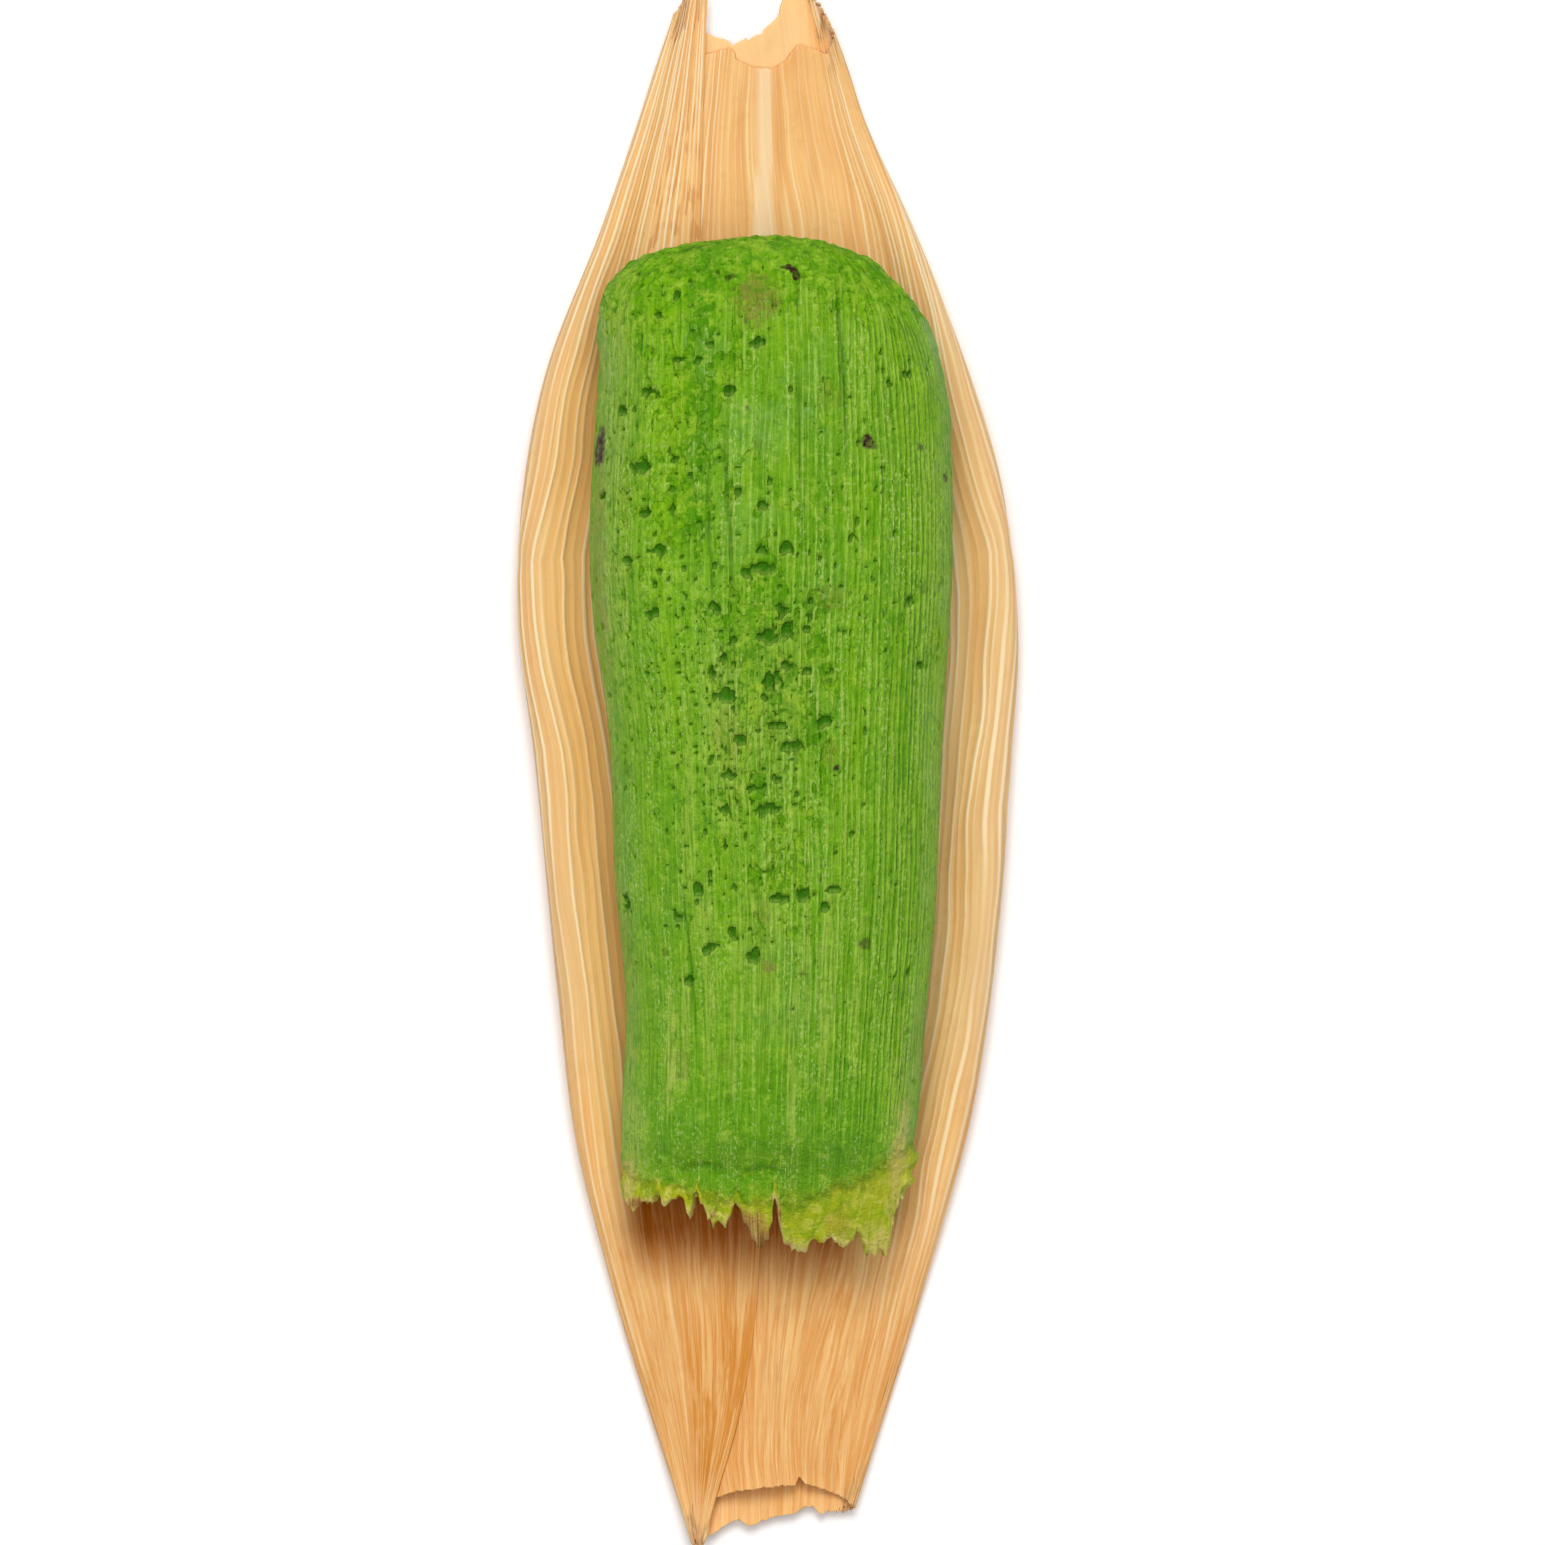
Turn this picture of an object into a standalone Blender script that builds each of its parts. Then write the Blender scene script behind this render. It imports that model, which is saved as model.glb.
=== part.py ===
# A steamed tamale lying unwrapped on its own corn husk leaf.
#
# The leaf is one sheet, folded into a flat envelope: a back layer on the table, its right side
# folded over as the front sheet, and its left side folded over that as the flap. Both folds are
# rolled up into banks beside the dough, which rests on the flap with its torn end at the foot.
#
# +Y runs from the torn foot to the rounded head, +X to the right, +Z up. The origin is on the
# table, under the middle of the leaf.

import bmesh
import bpy
import numpy as np

MM = 0.001

# Leaf, in metres
LEAF_END = 94.6 * MM  # how far both tips reach from the origin
LEAF_THICKNESS = 0.5 * MM
LAYER_GAP = 0.35 * MM
LAYER_PITCH = LEAF_THICKNESS + LAYER_GAP
ROLL_WIDTH = 10.5 * MM  # from a fold inwards to the foot of its bank
BANK_HEIGHT = 5.4 * MM
BANK_LEFT_AT_ENDS = 0.12  # share of the bank height that is left at the tips
HIDDEN_EDGE = 0.16  # where the front sheet ends under the flap, as a share of the width
HIDDEN_CLEARANCE = 1.2  # and at least this many roll widths from the left fold
HEAD_LIFT = 3.0 * MM  # how far the head tips curl up off the table
FOOT_LIFT = 2.0 * MM
LIFT_START = 62 * MM
HEAD_MOUTH = 0.6 * MM  # how far the front sheet arches off the back layer at each end
FOOT_MOUTH = 3.2 * MM
MOUTH_START = 64 * MM
LEAF_ROWS = 15

# Lines along the leaf, as (distance along, distance across) in millimetres
LEFT_FOLD = (
    (-95, -9.0), (-63, -18.9), (-46, -23.1), (-28, -25.3), (3, -28.4),
    (17, -30.2), (30, -29.9), (47, -27.0), (66, -19.8), (84, -13.8), (95, -10.6),
)
RIGHT_FOLD = (
    (-95, 8.9), (-63, 18.9), (-43, 24.4), (-20, 27.8), (0, 29.3),
    (17, 30.2), (34, 28.2), (54, 22.0), (67, 16.8), (78, 11.8), (89, 8.3), (95, 6.4),
)
FLAP_EDGE = (
    (-95, -8.0), (-89, -6.3), (-80, -3.7), (-70, -1.9), (-58, -0.9),
    (0, -4.0), (64, -8.2), (95, -7.4),
)

# Where the torn ends lie, as (share across the layer, distance along) in millimetres.
# The front sheet runs left to right, the back layer right to left.
FRONT_FOOT = ((0, -89.5), (0.5, -88.0), (0.75, -86.9), (1, -90.0))
FRONT_HEAD = ((0, 87.0), (0.3, 86.8), (0.55, 84.8), (0.8, 87.6), (1, 86.4))
BACK_FOOT = ((0, -90.6), (0.3, -90.8), (0.6, -92.3), (0.85, -93.2), (1, -94.8))
BACK_HEAD = ((0, 93.4), (0.28, 95.0), (0.45, 91.0), (0.7, 87.8), (1, 90.4))
FLAP_FOOT = ((0, -94.9), (1, -95.0))
FLAP_HEAD = ((0, 94.2), (0.5, 95.0), (1, 94.0))

# Cage columns across each layer, as shares of its width
FRONT_COLUMNS = (0, 0.2, 0.4, 0.6, 0.8, 1)
BACK_COLUMNS = (0, 0.25, 0.5, 0.75, 1)
FLAP_COLUMNS = (0, 0.35, 0.7, 1)

# A rolled fold from its upper foot to its lower foot: (share of the roll's width in from the
# fold, share of the gap between the two layers, share of the bank's height)
ROLL_PROFILE = (
    (0.66, 1.00, 0.36), (0.38, 1.00, 0.86), (0.10, 1.00, 1.00),
    (-0.05, 0.62, 0.62), (0.10, 0.22, 0.22), (0.50, 0.01, 0.01),
)

# Dough, in metres
DOUGH_BASE = 2.6 * MM  # underside, just above the flap
DOUGH_MIDDLE = 13.5 * MM  # height of its widest line
DOUGH_HEAD = 64.9 * MM  # how far the head reaches along the leaf
TOP_POWER = 2.25  # 2 is an ellipse, more is squarer
BASE_POWER = 2.7
TOP_SEGMENTS = 24  # cage segments over the top, in finer steps than below
BASE_SEGMENTS = 10

# Sides and crown of the dough, as (distance along, distance across or up) in millimetres
DOUGH_LEFT = (
    (-56, -17.6), (-43, -17.6), (-30, -17.2), (-14, -18.5), (3, -19.3),
    (25, -21.7), (36, -21.2), (46, -20.4), (66, -20.8),
)
DOUGH_RIGHT = (
    (-56, 15.8), (-43, 18.0), (-30, 19.2), (-14, 20.5), (3, 21.1),
    (25, 22.5), (36, 22.3), (46, 21.6), (66, 21.2),
)
DOUGH_CROWN = ((-56, 23.6), (-40, 25.0), (-20, 26.6), (8, 27.8), (35, 27.6), (66, 25.6))
DOUGH_RINGS = (-40, -26, -10, 8, 26, 40, 49, 55.5, 60, 63, 64.6)

# Rounding of the head: (length that is rounded, power) for each side, the top and the base
HEAD_ROUND_LEFT = (10 * MM, 2.25)
HEAD_ROUND_RIGHT = (23 * MM, 2.4)
HEAD_ROUND_TOP = (17 * MM, 2.6)
HEAD_ROUND_BASE = (14 * MM, 2.6)

# Torn foot. The crust is torn further out on the right, and threads of it stand out.
TORN_LEFT = -52.8 * MM
TORN_RIGHT = -58.8 * MM
TORN_STEP_AT = -1.5 * MM
TORN_STEP_WIDTH = 4.0 * MM
# Shreds of dough at the tear: (place across, half width, length) in millimetres, before the
# cage is smoothed, which shortens them; a negative length is a notch
SHREDS = (
    (-16.4, 2.0, 3.0), (-12.2, 2.2, -1.2), (-7.0, 2.6, 7.6), (-1.4, 2.4, 5.6),
    (1.0, 1.6, -6.5), (5.4, 3.0, 2.0), (9.2, 1.6, -2.5), (12.3, 2.6, 7.0),
)
# Rings that close the foot: (shift along in mm, share of the tear they follow, width, height
# above and depth below the middle, as shares of the full section)
FOOT_RINGS = (
    (7.5, 0.10, 1.00, 0.95, 1.00),
    (3.5, 0.45, 1.00, 0.74, 0.97),
    (0.6, 1.00, 0.98, 0.28, 0.80),
    (1.6, 0.90, 0.90, 0.12, 0.60),
    (4.5, 0.25, 0.72, 0.10, 0.36),
    (5.0, 0.10, 0.36, 0.06, 0.16),
)

# Colours: red, green, blue in linear light
HUSK_COLOUR = (0.76, 0.46, 0.19, 1.0)
DOUGH_COLOUR = (0.17, 0.37, 0.025, 1.0)


def smooth_through(stations, at):
    """The height at `at` of a smooth curve through (place, height) stations in millimetres."""
    places, heights = np.array(stations, float).T * MM
    slopes = np.gradient(heights, places)
    at = np.clip(at, places[0], places[-1])
    i = int(np.clip(np.searchsorted(places, at) - 1, 0, len(places) - 2))
    step = places[i + 1] - places[i]
    t = (at - places[i]) / step
    return (
        heights[i] * (1 + 2 * t) * (1 - t) ** 2
        + heights[i + 1] * t * t * (3 - 2 * t)
        + step * slopes[i] * t * (1 - t) ** 2
        + step * slopes[i + 1] * t * t * (t - 1)
    )


def level_between(stations, share):
    """The straight-line height, in metres, of (share, millimetres) stations."""
    shares, heights = np.array(stations, float).T
    return float(np.interp(share, shares, heights)) * MM


def ease(value, start, end):
    """0 before start, 1 after end, and a smooth step between them."""
    t = float(np.clip((value - start) / (end - start), 0, 1))
    return t * t * (3 - 2 * t)


def lift_at(y):
    """How far the whole leaf curls up off the table."""
    beyond = max(0.0, abs(y) - LIFT_START) / (LEAF_END - LIFT_START)
    return (HEAD_LIFT if y > 0 else FOOT_LIFT) * beyond**2


def mouth_at(y):
    """How far the front sheet arches off the back layer."""
    return (HEAD_MOUTH if y > 0 else FOOT_MOUTH) * ease(abs(y), MOUTH_START, LEAF_END)


def bank_at(y):
    """Height of the rolled banks: full beside the dough and nearly flat at the tips."""
    fall = ease(y, 38 * MM, 84 * MM) if y > 0 else ease(-y, 30 * MM, 84 * MM)
    return BANK_HEIGHT * (1 - (1 - BANK_LEFT_AT_ENDS) * fall)


def roll(fold, inwards, width, lower, upper, bank):
    """Points round a rolled fold, from the upper layer to the lower one."""
    return [
        (fold + inwards * share * width, lower + gap_share * (upper - lower) + bank_share * bank)
        for share, gap_share, bank_share in ROLL_PROFILE
    ]


def leaf_section(y):
    """Mid-surface points (x, z) across the folded leaf, from the front sheet's hidden edge
    round the right fold, along the back layer, and round the left fold to the flap's edge."""
    left = smooth_through(LEFT_FOLD, y)
    right = smooth_through(RIGHT_FOLD, y)
    edge = smooth_through(FLAP_EDGE, y)
    back = LEAF_THICKNESS / 2
    front = back + LAYER_PITCH
    flap = front + LAYER_PITCH
    bank = bank_at(y)
    width = min(ROLL_WIDTH, 0.22 * (right - left), 0.45 * (edge - left))
    middle = (left + right) / 2
    span = (right - left) / 2 - width

    def arched(x, level):
        return x, level + mouth_at(y) * max(0.0, 1 - ((x - middle) / span) ** 2)

    hidden = left + max(HIDDEN_EDGE * (right - left), HIDDEN_CLEARANCE * width)
    front_end, flap_start = right - width, left + width
    points = [arched(hidden + s * (front_end - hidden), front) for s in FRONT_COLUMNS]
    points += roll(right, -1, width, back, front, bank)
    points += [(front_end + s * (flap_start - front_end), back) for s in BACK_COLUMNS]
    points += reversed(roll(left, 1, width, back, flap, bank))
    points += [arched(flap_start + s * (edge - flap_start), flap) for s in FLAP_COLUMNS]
    return [(x, z + lift_at(y)) for x, z in points]


def column_ends(front, back, flap):
    """Where each cage column ends along the leaf; the rolls run evenly between the layers."""
    rolled = len(ROLL_PROFILE)
    fronts = [level_between(front, s) for s in FRONT_COLUMNS]
    backs = [level_between(back, s) for s in BACK_COLUMNS]
    flaps = [level_between(flap, s) for s in FLAP_COLUMNS]
    right = np.linspace(fronts[-1], backs[0], rolled + 2)[1:-1]
    left = np.linspace(backs[-1], flaps[0], rolled + 2)[1:-1]
    return np.concatenate([fronts, right, backs, left, flaps])


def make_husk(collection, material):
    """The folded leaf: an open cage of the mid-surface, subdivided and given its thickness."""
    foot_ends = column_ends(FRONT_FOOT, BACK_FOOT, FLAP_FOOT)
    head_ends = column_ends(FRONT_HEAD, BACK_HEAD, FLAP_HEAD)
    cage = bmesh.new()
    rows = []
    for share in np.linspace(0, 1, LEAF_ROWS):
        row = []
        for column, (foot, head) in enumerate(zip(foot_ends, head_ends)):
            y = float(foot + share * (head - foot))
            x, z = leaf_section(y)[column]
            row.append(cage.verts.new((x, y, z)))
        rows.append(row)
    bridge(cage, rows, closed=False)
    husk = mesh_object("husk", cage, collection, material)
    smooth_cage(husk)
    shell = husk.modifiers.new("thickness", "SOLIDIFY")
    shell.thickness = LEAF_THICKNESS
    shell.offset = 0
    shell.use_even_offset = True
    return husk


def rounding(y, length_and_power):
    """Share of the full section that is left at y, going to nothing at the head."""
    length, power = length_and_power
    t = np.clip((y - (DOUGH_HEAD - length)) / length, 0, 1)
    return float((1 - t**power) ** (1 / power))


def tear_at(x):
    """Distance along the leaf of the torn edge at x."""
    y = TORN_LEFT + (TORN_RIGHT - TORN_LEFT) * ease(x, TORN_STEP_AT - TORN_STEP_WIDTH, TORN_STEP_AT)
    for place, half_width, length in SHREDS:
        nearness = max(0.0, 1 - abs(x - place * MM) / (half_width * MM))
        y -= length * MM * nearness
    return y


def section_angles():
    """Angles round the dough, from its right side over the top and back under the base."""
    top = np.linspace(0, np.pi, TOP_SEGMENTS + 1)
    base = np.linspace(np.pi, 2 * np.pi, BASE_SEGMENTS + 1)
    return np.concatenate([top, base[1:-1]])


def dough_point(angle, y, width=1.0, height=1.0, depth=1.0):
    """A point (x, z) of the dough's section: a rounded oval, flatter below than above."""
    over = np.sin(angle) >= 0
    power = TOP_POWER if over else BASE_POWER
    across = np.sign(np.cos(angle)) * abs(np.cos(angle)) ** (2 / power)
    up = abs(np.sin(angle)) ** (2 / power)
    if across > 0:
        reach = smooth_through(DOUGH_RIGHT, y) * rounding(y, HEAD_ROUND_RIGHT)
    else:
        reach = -smooth_through(DOUGH_LEFT, y) * rounding(y, HEAD_ROUND_LEFT)
    if over:
        crown = smooth_through(DOUGH_CROWN, y) - DOUGH_MIDDLE
        z = DOUGH_MIDDLE + crown * up * height * rounding(y, HEAD_ROUND_TOP)
    else:
        z = DOUGH_MIDDLE - (DOUGH_MIDDLE - DOUGH_BASE) * up * depth * rounding(y, HEAD_ROUND_BASE)
    return across * reach * width, z


def make_dough(collection, material):
    """The dough: a loft from the torn foot through oval sections to the rounded head."""
    cage = bmesh.new()
    angles = section_angles()
    rows = []
    for shift, follow, width, height, depth in reversed(FOOT_RINGS):
        row = []
        y = TORN_LEFT + shift * MM
        for angle in angles:
            x, z = dough_point(angle, y, width, height, depth)
            over = max(0.0, np.sin(angle)) ** 0.5
            torn = (tear_at(x) - TORN_LEFT) * follow * over
            row.append(cage.verts.new((x, y + torn, z)))
        rows.append(row)
    for station in DOUGH_RINGS:
        y = station * MM
        rows.append([cage.verts.new((x, y, z)) for x, z in (dough_point(a, y) for a in angles)])
    bridge(cage, rows, closed=True)
    for ring in (rows[0], rows[-1][::-1]):
        cage.faces.new(ring)
    dough = mesh_object("masa", cage, collection, material)
    smooth_cage(dough)
    return dough


def bridge(cage, rows, closed):
    """Quads between each row of points and the next; closed also joins a row's two ends."""
    count = len(rows[0])
    for lower, upper in zip(rows, rows[1:]):
        for i in range(count if closed else count - 1):
            j = (i + 1) % count
            cage.faces.new((lower[i], lower[j], upper[j], upper[i]))


def smooth_cage(obj):
    subdivision = obj.modifiers.new("smooth", "SUBSURF")
    subdivision.levels = 1
    subdivision.render_levels = 1


def mesh_object(name, cage, collection, material):
    """A smooth-shaded object from a bmesh, with its faces pointing outwards."""
    bmesh.ops.recalc_face_normals(cage, faces=cage.faces)
    mesh = bpy.data.meshes.new(name)
    cage.to_mesh(mesh)
    cage.free()
    mesh.shade_smooth()
    mesh.materials.append(material)
    obj = bpy.data.objects.new(name, mesh)
    collection.objects.link(obj)
    return obj


def plain_material(name, colour, roughness):
    material = bpy.data.materials.new(name)
    material.use_nodes = True
    shader = material.node_tree.nodes["Principled BSDF"]
    shader.inputs["Base Color"].default_value = colour
    shader.inputs["Roughness"].default_value = roughness
    shader.inputs["Metallic"].default_value = 0.0
    return material


def main():
    for obj in list(bpy.data.objects):
        bpy.data.objects.remove(obj, do_unlink=True)
    collection = bpy.data.collections.new("tamale")
    bpy.context.scene.collection.children.link(collection)
    make_husk(collection, plain_material("husk", HUSK_COLOUR, 0.6))
    make_dough(collection, plain_material("masa", DOUGH_COLOUR, 0.35))


main()
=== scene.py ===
import math

import bpy
import numpy as np
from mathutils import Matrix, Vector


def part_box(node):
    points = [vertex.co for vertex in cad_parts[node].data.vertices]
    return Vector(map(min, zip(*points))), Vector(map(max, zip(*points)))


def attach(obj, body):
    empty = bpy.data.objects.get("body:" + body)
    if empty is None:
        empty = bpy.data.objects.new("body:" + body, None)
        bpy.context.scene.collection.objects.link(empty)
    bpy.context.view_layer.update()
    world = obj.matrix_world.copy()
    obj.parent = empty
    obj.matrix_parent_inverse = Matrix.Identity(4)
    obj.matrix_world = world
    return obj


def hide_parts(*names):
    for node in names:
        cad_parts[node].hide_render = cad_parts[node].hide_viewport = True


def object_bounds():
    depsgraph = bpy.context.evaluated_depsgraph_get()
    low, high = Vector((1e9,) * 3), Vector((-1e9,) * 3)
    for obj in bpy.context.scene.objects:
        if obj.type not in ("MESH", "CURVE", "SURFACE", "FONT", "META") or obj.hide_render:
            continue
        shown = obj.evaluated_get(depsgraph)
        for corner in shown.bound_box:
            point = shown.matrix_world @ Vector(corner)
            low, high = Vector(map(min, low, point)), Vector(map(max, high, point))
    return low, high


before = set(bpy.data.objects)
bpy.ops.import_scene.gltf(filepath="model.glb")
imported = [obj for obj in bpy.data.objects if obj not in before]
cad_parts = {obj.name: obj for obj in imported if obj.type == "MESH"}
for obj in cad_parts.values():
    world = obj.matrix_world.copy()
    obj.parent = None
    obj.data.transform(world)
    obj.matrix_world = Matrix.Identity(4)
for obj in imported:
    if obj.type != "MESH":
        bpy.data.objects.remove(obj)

# A steamed green tamale lying on its own folded corn husk. Lengths are in millimetres: x across,
# y from the torn foot to the head, z up from the table.

mm = 0.001
cadLow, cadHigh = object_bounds()  # the solids' own box, before anything stands for them
doughLow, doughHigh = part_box("masa")
doughLength = round((doughHigh.y - doughLow.y) / mm, 1)
print("frame: husk and masa solids loaded, the masa", doughLength, "mm long")


def ease(t):  # smooth step: 0 up to t = 0, 1 from t = 1
    t = np.clip(t, 0, 1)
    return t * t * (3 - 2 * t)


def hill(d):  # 1 where d = 0, easing down to 0 at d = 1 and at d = -1
    return ease(1 - np.abs(d))


def between(value, start, rise, end, fall):  # 1 from start to end, eased in over rise and out over fall
    return ease((value - start) / rise) * ease((end - value) / fall)


def rises(x, y, places):  # smooth rises, each (x, y, half width, half length, strength), added up
    return sum(strength * hill((x - middleX) / across) * hill((y - middleY) / along)
               for middleX, middleY, across, along, strength in places)


def curveThrough(stations, at):
    # Smooth height over (place, height) stations: cubic pieces that share their slopes.
    places, heights = np.array(stations, float).T
    slopes = np.gradient(heights, places)
    at = np.clip(at, places[0], places[-1])
    i = np.clip(np.searchsorted(places, at) - 1, 0, len(places) - 2)
    step = places[i + 1] - places[i]
    t = (at - places[i]) / step
    ends = heights[i] * (1 + 2 * t) * (1 - t) ** 2 + heights[i + 1] * t * t * (3 - 2 * t)
    return ends + step * t * (1 - t) * (slopes[i] * (1 - t) - slopes[i + 1] * t)


def lineThrough(stations, at):  # straight pieces between (place, height) stations
    places, heights = np.array(stations, float).T
    return np.interp(at, places, heights)


def pick(i, j, seed):
    # A repeatable number from 0 to 1 for each pair of whole numbers: their mixed bits.
    mixers = (374761393, 668265263, 974634777, 1274126177)
    lowBits = 0xFFFFFFFF
    n = (i * mixers[0] + j * mixers[1] + seed * mixers[2]) & lowBits
    n = ((n ^ (n >> 13)) * mixers[3]) & lowBits
    n = ((n ^ (n >> 16)) * mixers[1]) & lowBits
    return (n ^ (n >> 15)) / lowBits


def ripple(u, v, seed):
    # Smooth noise from -1 to 1: the picks at a unit cell's four corners, eased into each other.
    i, j = np.floor(u).astype(np.int64), np.floor(v).astype(np.int64)
    a, b = ease(u - i), ease(v - j)
    near = pick(i, j, seed) * (1 - a) + pick(i + 1, j, seed) * a
    far = pick(i, j + 1, seed) * (1 - a) + pick(i + 1, j + 1, seed) * a
    return 2 * (near * (1 - b) + far * b) - 1


def ripples(u, v, seed, layers=3):  # ripple, then the same twice as fine and half as strong
    total = sum(ripple(u * 2**k, v * 2**k, seed + k) * 0.5**k for k in range(layers))
    return total / (2 - 0.5 ** (layers - 1))


def hollows(u, v, size, seed, share, radii):
    # Ragged hollows, at most one in each square cell of the given size, at a picked place and
    # with a picked radius between the two radii: 1 on a hollow's floor and 0 outside its rim.
    # share(u, v) is how many of the cells hold one.
    ragged = 0.5 * ripples(u / 0.7, v / 0.7, seed + 7, 2)
    found = np.zeros_like(u)
    homeU, homeV = np.floor(u / size).astype(np.int64), np.floor(v / size).astype(np.int64)
    for aside in (-1, 0, 1):
        for along in (-1, 0, 1):
            i, j = homeU + aside, homeV + along
            middleU = (i + 0.15 + 0.7 * pick(i, j, seed)) * size
            middleV = (j + 0.15 + 0.7 * pick(i, j, seed + 1)) * size
            radius = radii[0] + (radii[1] - radii[0]) * pick(i, j, seed + 2) ** 3
            stretch = 0.65 + 0.8 * pick(i, j, seed + 3)
            away = np.hypot((u - middleU) * stretch, (v - middleV) / stretch) / radius + ragged
            there = pick(i, j, seed + 4) < share(middleU, middleV)
            found = np.maximum(found, np.where(there, ease(2.2 * (1.15 - away)), 0))
    return found


def surfaceNormals(x, y, z):
    # Unit normals of a grid surface: the cross product of its slopes along and across.
    along = np.stack([np.gradient(a, axis=0) for a in (x, y, z)], axis=-1)
    across = np.stack([np.gradient(a, axis=1) for a in (x, y, z)], axis=-1)
    normals = np.cross(across, along)
    return normals / np.maximum(np.linalg.norm(normals, axis=-1, keepdims=True), 1e-9)


def gridFaces(rows, columns):  # corner numbers of each quad between neighbouring grid points
    start = (np.arange(rows - 1)[:, None] * columns + np.arange(columns - 1)).ravel()
    return np.stack([start, start + 1, start + columns + 1, start + columns], axis=1)


def makePiece(name, points, faces, finish, grain=None, marks=None):
    # A smooth-shaded object from an array of points and lists of faces. grain is the UV place
    # of each face corner, and marks are named values for each point.
    mesh = bpy.data.meshes.new(name)
    mesh.from_pydata((points * mm).tolist(), [], faces)
    mesh.update()
    if grain is not None:
        layer = mesh.uv_layers.new(name="grain")
        layer.data.foreach_set("uv", grain.astype(np.float32).ravel())
    for markName, values in (marks or {}).items():
        mark = mesh.attributes.new(markName, "FLOAT", "POINT")
        mark.data.foreach_set("value", values.astype(np.float32).ravel())
    mesh.shade_smooth()
    mesh.materials.append(finish)
    piece = bpy.data.objects.new(name, mesh)
    bpy.context.scene.collection.objects.link(piece)
    return piece


def tint(red, green, blue):  # a colour as a screen shows it, 0 to 255, as linear light
    shares = (c / 255 for c in (red, green, blue))
    light = [((s + 0.055) / 1.055) ** 2.4 if s > 0.04 else s / 12.92 for s in shares]
    return (*light, 1.0)


class Blend:
    # One socket of a material's recipe. Arithmetic on it adds the Math nodes.
    def __init__(self, tree, socket=None):
        self.tree = tree
        self.socket = socket

    def node(self, kind, settings, inputs, output=0):
        # Adds one node: its settings first, then a number, colour or link for each socket.
        made = self.tree.nodes.new(kind)
        for key, value in settings.items():
            if key == "stops":
                self.setStops(made.color_ramp, value)
            else:
                setattr(made, key, value)
        for key, value in inputs.items():
            if isinstance(value, Blend):
                self.tree.links.new(value.socket, made.inputs[key])
            else:
                made.inputs[key].default_value = value
        return Blend(self.tree, made.outputs[output])

    def setStops(self, ramp, stops):
        while len(ramp.elements) < len(stops):
            ramp.elements.new(1.0)
        for element, (place, colour) in zip(ramp.elements, stops):
            element.position = place
            element.color = colour

    def sum(self, operation, first, second):
        return self.node("ShaderNodeMath", {"operation": operation}, {0: first, 1: second})

    def __add__(self, other):
        return self.sum("ADD", self, other)

    def __sub__(self, other):
        return self.sum("SUBTRACT", self, other)

    def __rsub__(self, other):
        return self.sum("SUBTRACT", other, self)

    def __mul__(self, other):
        return self.sum("MULTIPLY", self, other)

    __radd__ = __add__
    __rmul__ = __mul__

    def band(self, low, high):  # 0 below low, 1 above high, eased between
        settings = {"interpolation_type": "SMOOTHSTEP", "clamp": True}
        return self.node("ShaderNodeMapRange", settings, {0: self, 1: low, 2: high, 3: 0.0, 4: 1.0})

    def marks(self, names):  # values stored on the piece's points, by their names
        kind = "ShaderNodeAttribute"
        return [self.node(kind, {"attribute_name": name}, {}, "Fac") for name in names.split()]

    def places(self):  # where the grain runs and where the point is
        grain = self.node("ShaderNodeUVMap", {"uv_map": "grain"}, {})
        return grain, self.node("ShaderNodeTexCoord", {}, {}, "Object")

    def noise(self, scale, detail=3.0, roughness=0.55, distortion=0.0):  # noise at this place
        inputs = {"Vector": self, "Scale": scale, "Detail": detail, "Roughness": roughness,
                  "Distortion": distortion}
        return self.node("ShaderNodeTexNoise", {}, inputs, "Fac")

    def stretched(self, across, along, up=1.0):  # this place with its axes scaled
        return self.node("ShaderNodeMapping", {}, {"Vector": self, "Scale": (across, along, up)})

    def streaks(self, across, along, detail=3.0, roughness=0.55, distortion=0.0):
        # Noise drawn out along the grain.
        return self.stretched(across, along).noise(1.0, detail, roughness, distortion)

    def ramp(self, stops):  # the colours that this value runs through, as (value, tint)
        stops = [(place, tint(*shade)) for place, shade in stops]
        return self.node("ShaderNodeValToRGB", {"stops": stops}, {0: self})

    def layered(self, layers):  # this colour with each (tint, amount) laid over it in turn
        colour = self
        for shade, amount in layers:
            inputs = {0: amount, 6: colour, 7: tint(*shade)}
            colour = self.node("ShaderNodeMix", {"data_type": "RGBA"}, inputs, 2)
        return colour


def startFinish(name, constants):
    # A material with one Principled shader, its unchanging sockets set straight on it.
    material = bpy.data.materials.new(name)
    material.use_nodes = True
    shader = material.node_tree.nodes["Principled BSDF"]
    for key, value in constants.items():
        shader.inputs[key].default_value = value
    return material, shader, Blend(material.node_tree)


def connect(shader, links):
    for key, value in links.items():
        value.tree.links.new(value.socket, shader.inputs[key])


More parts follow.
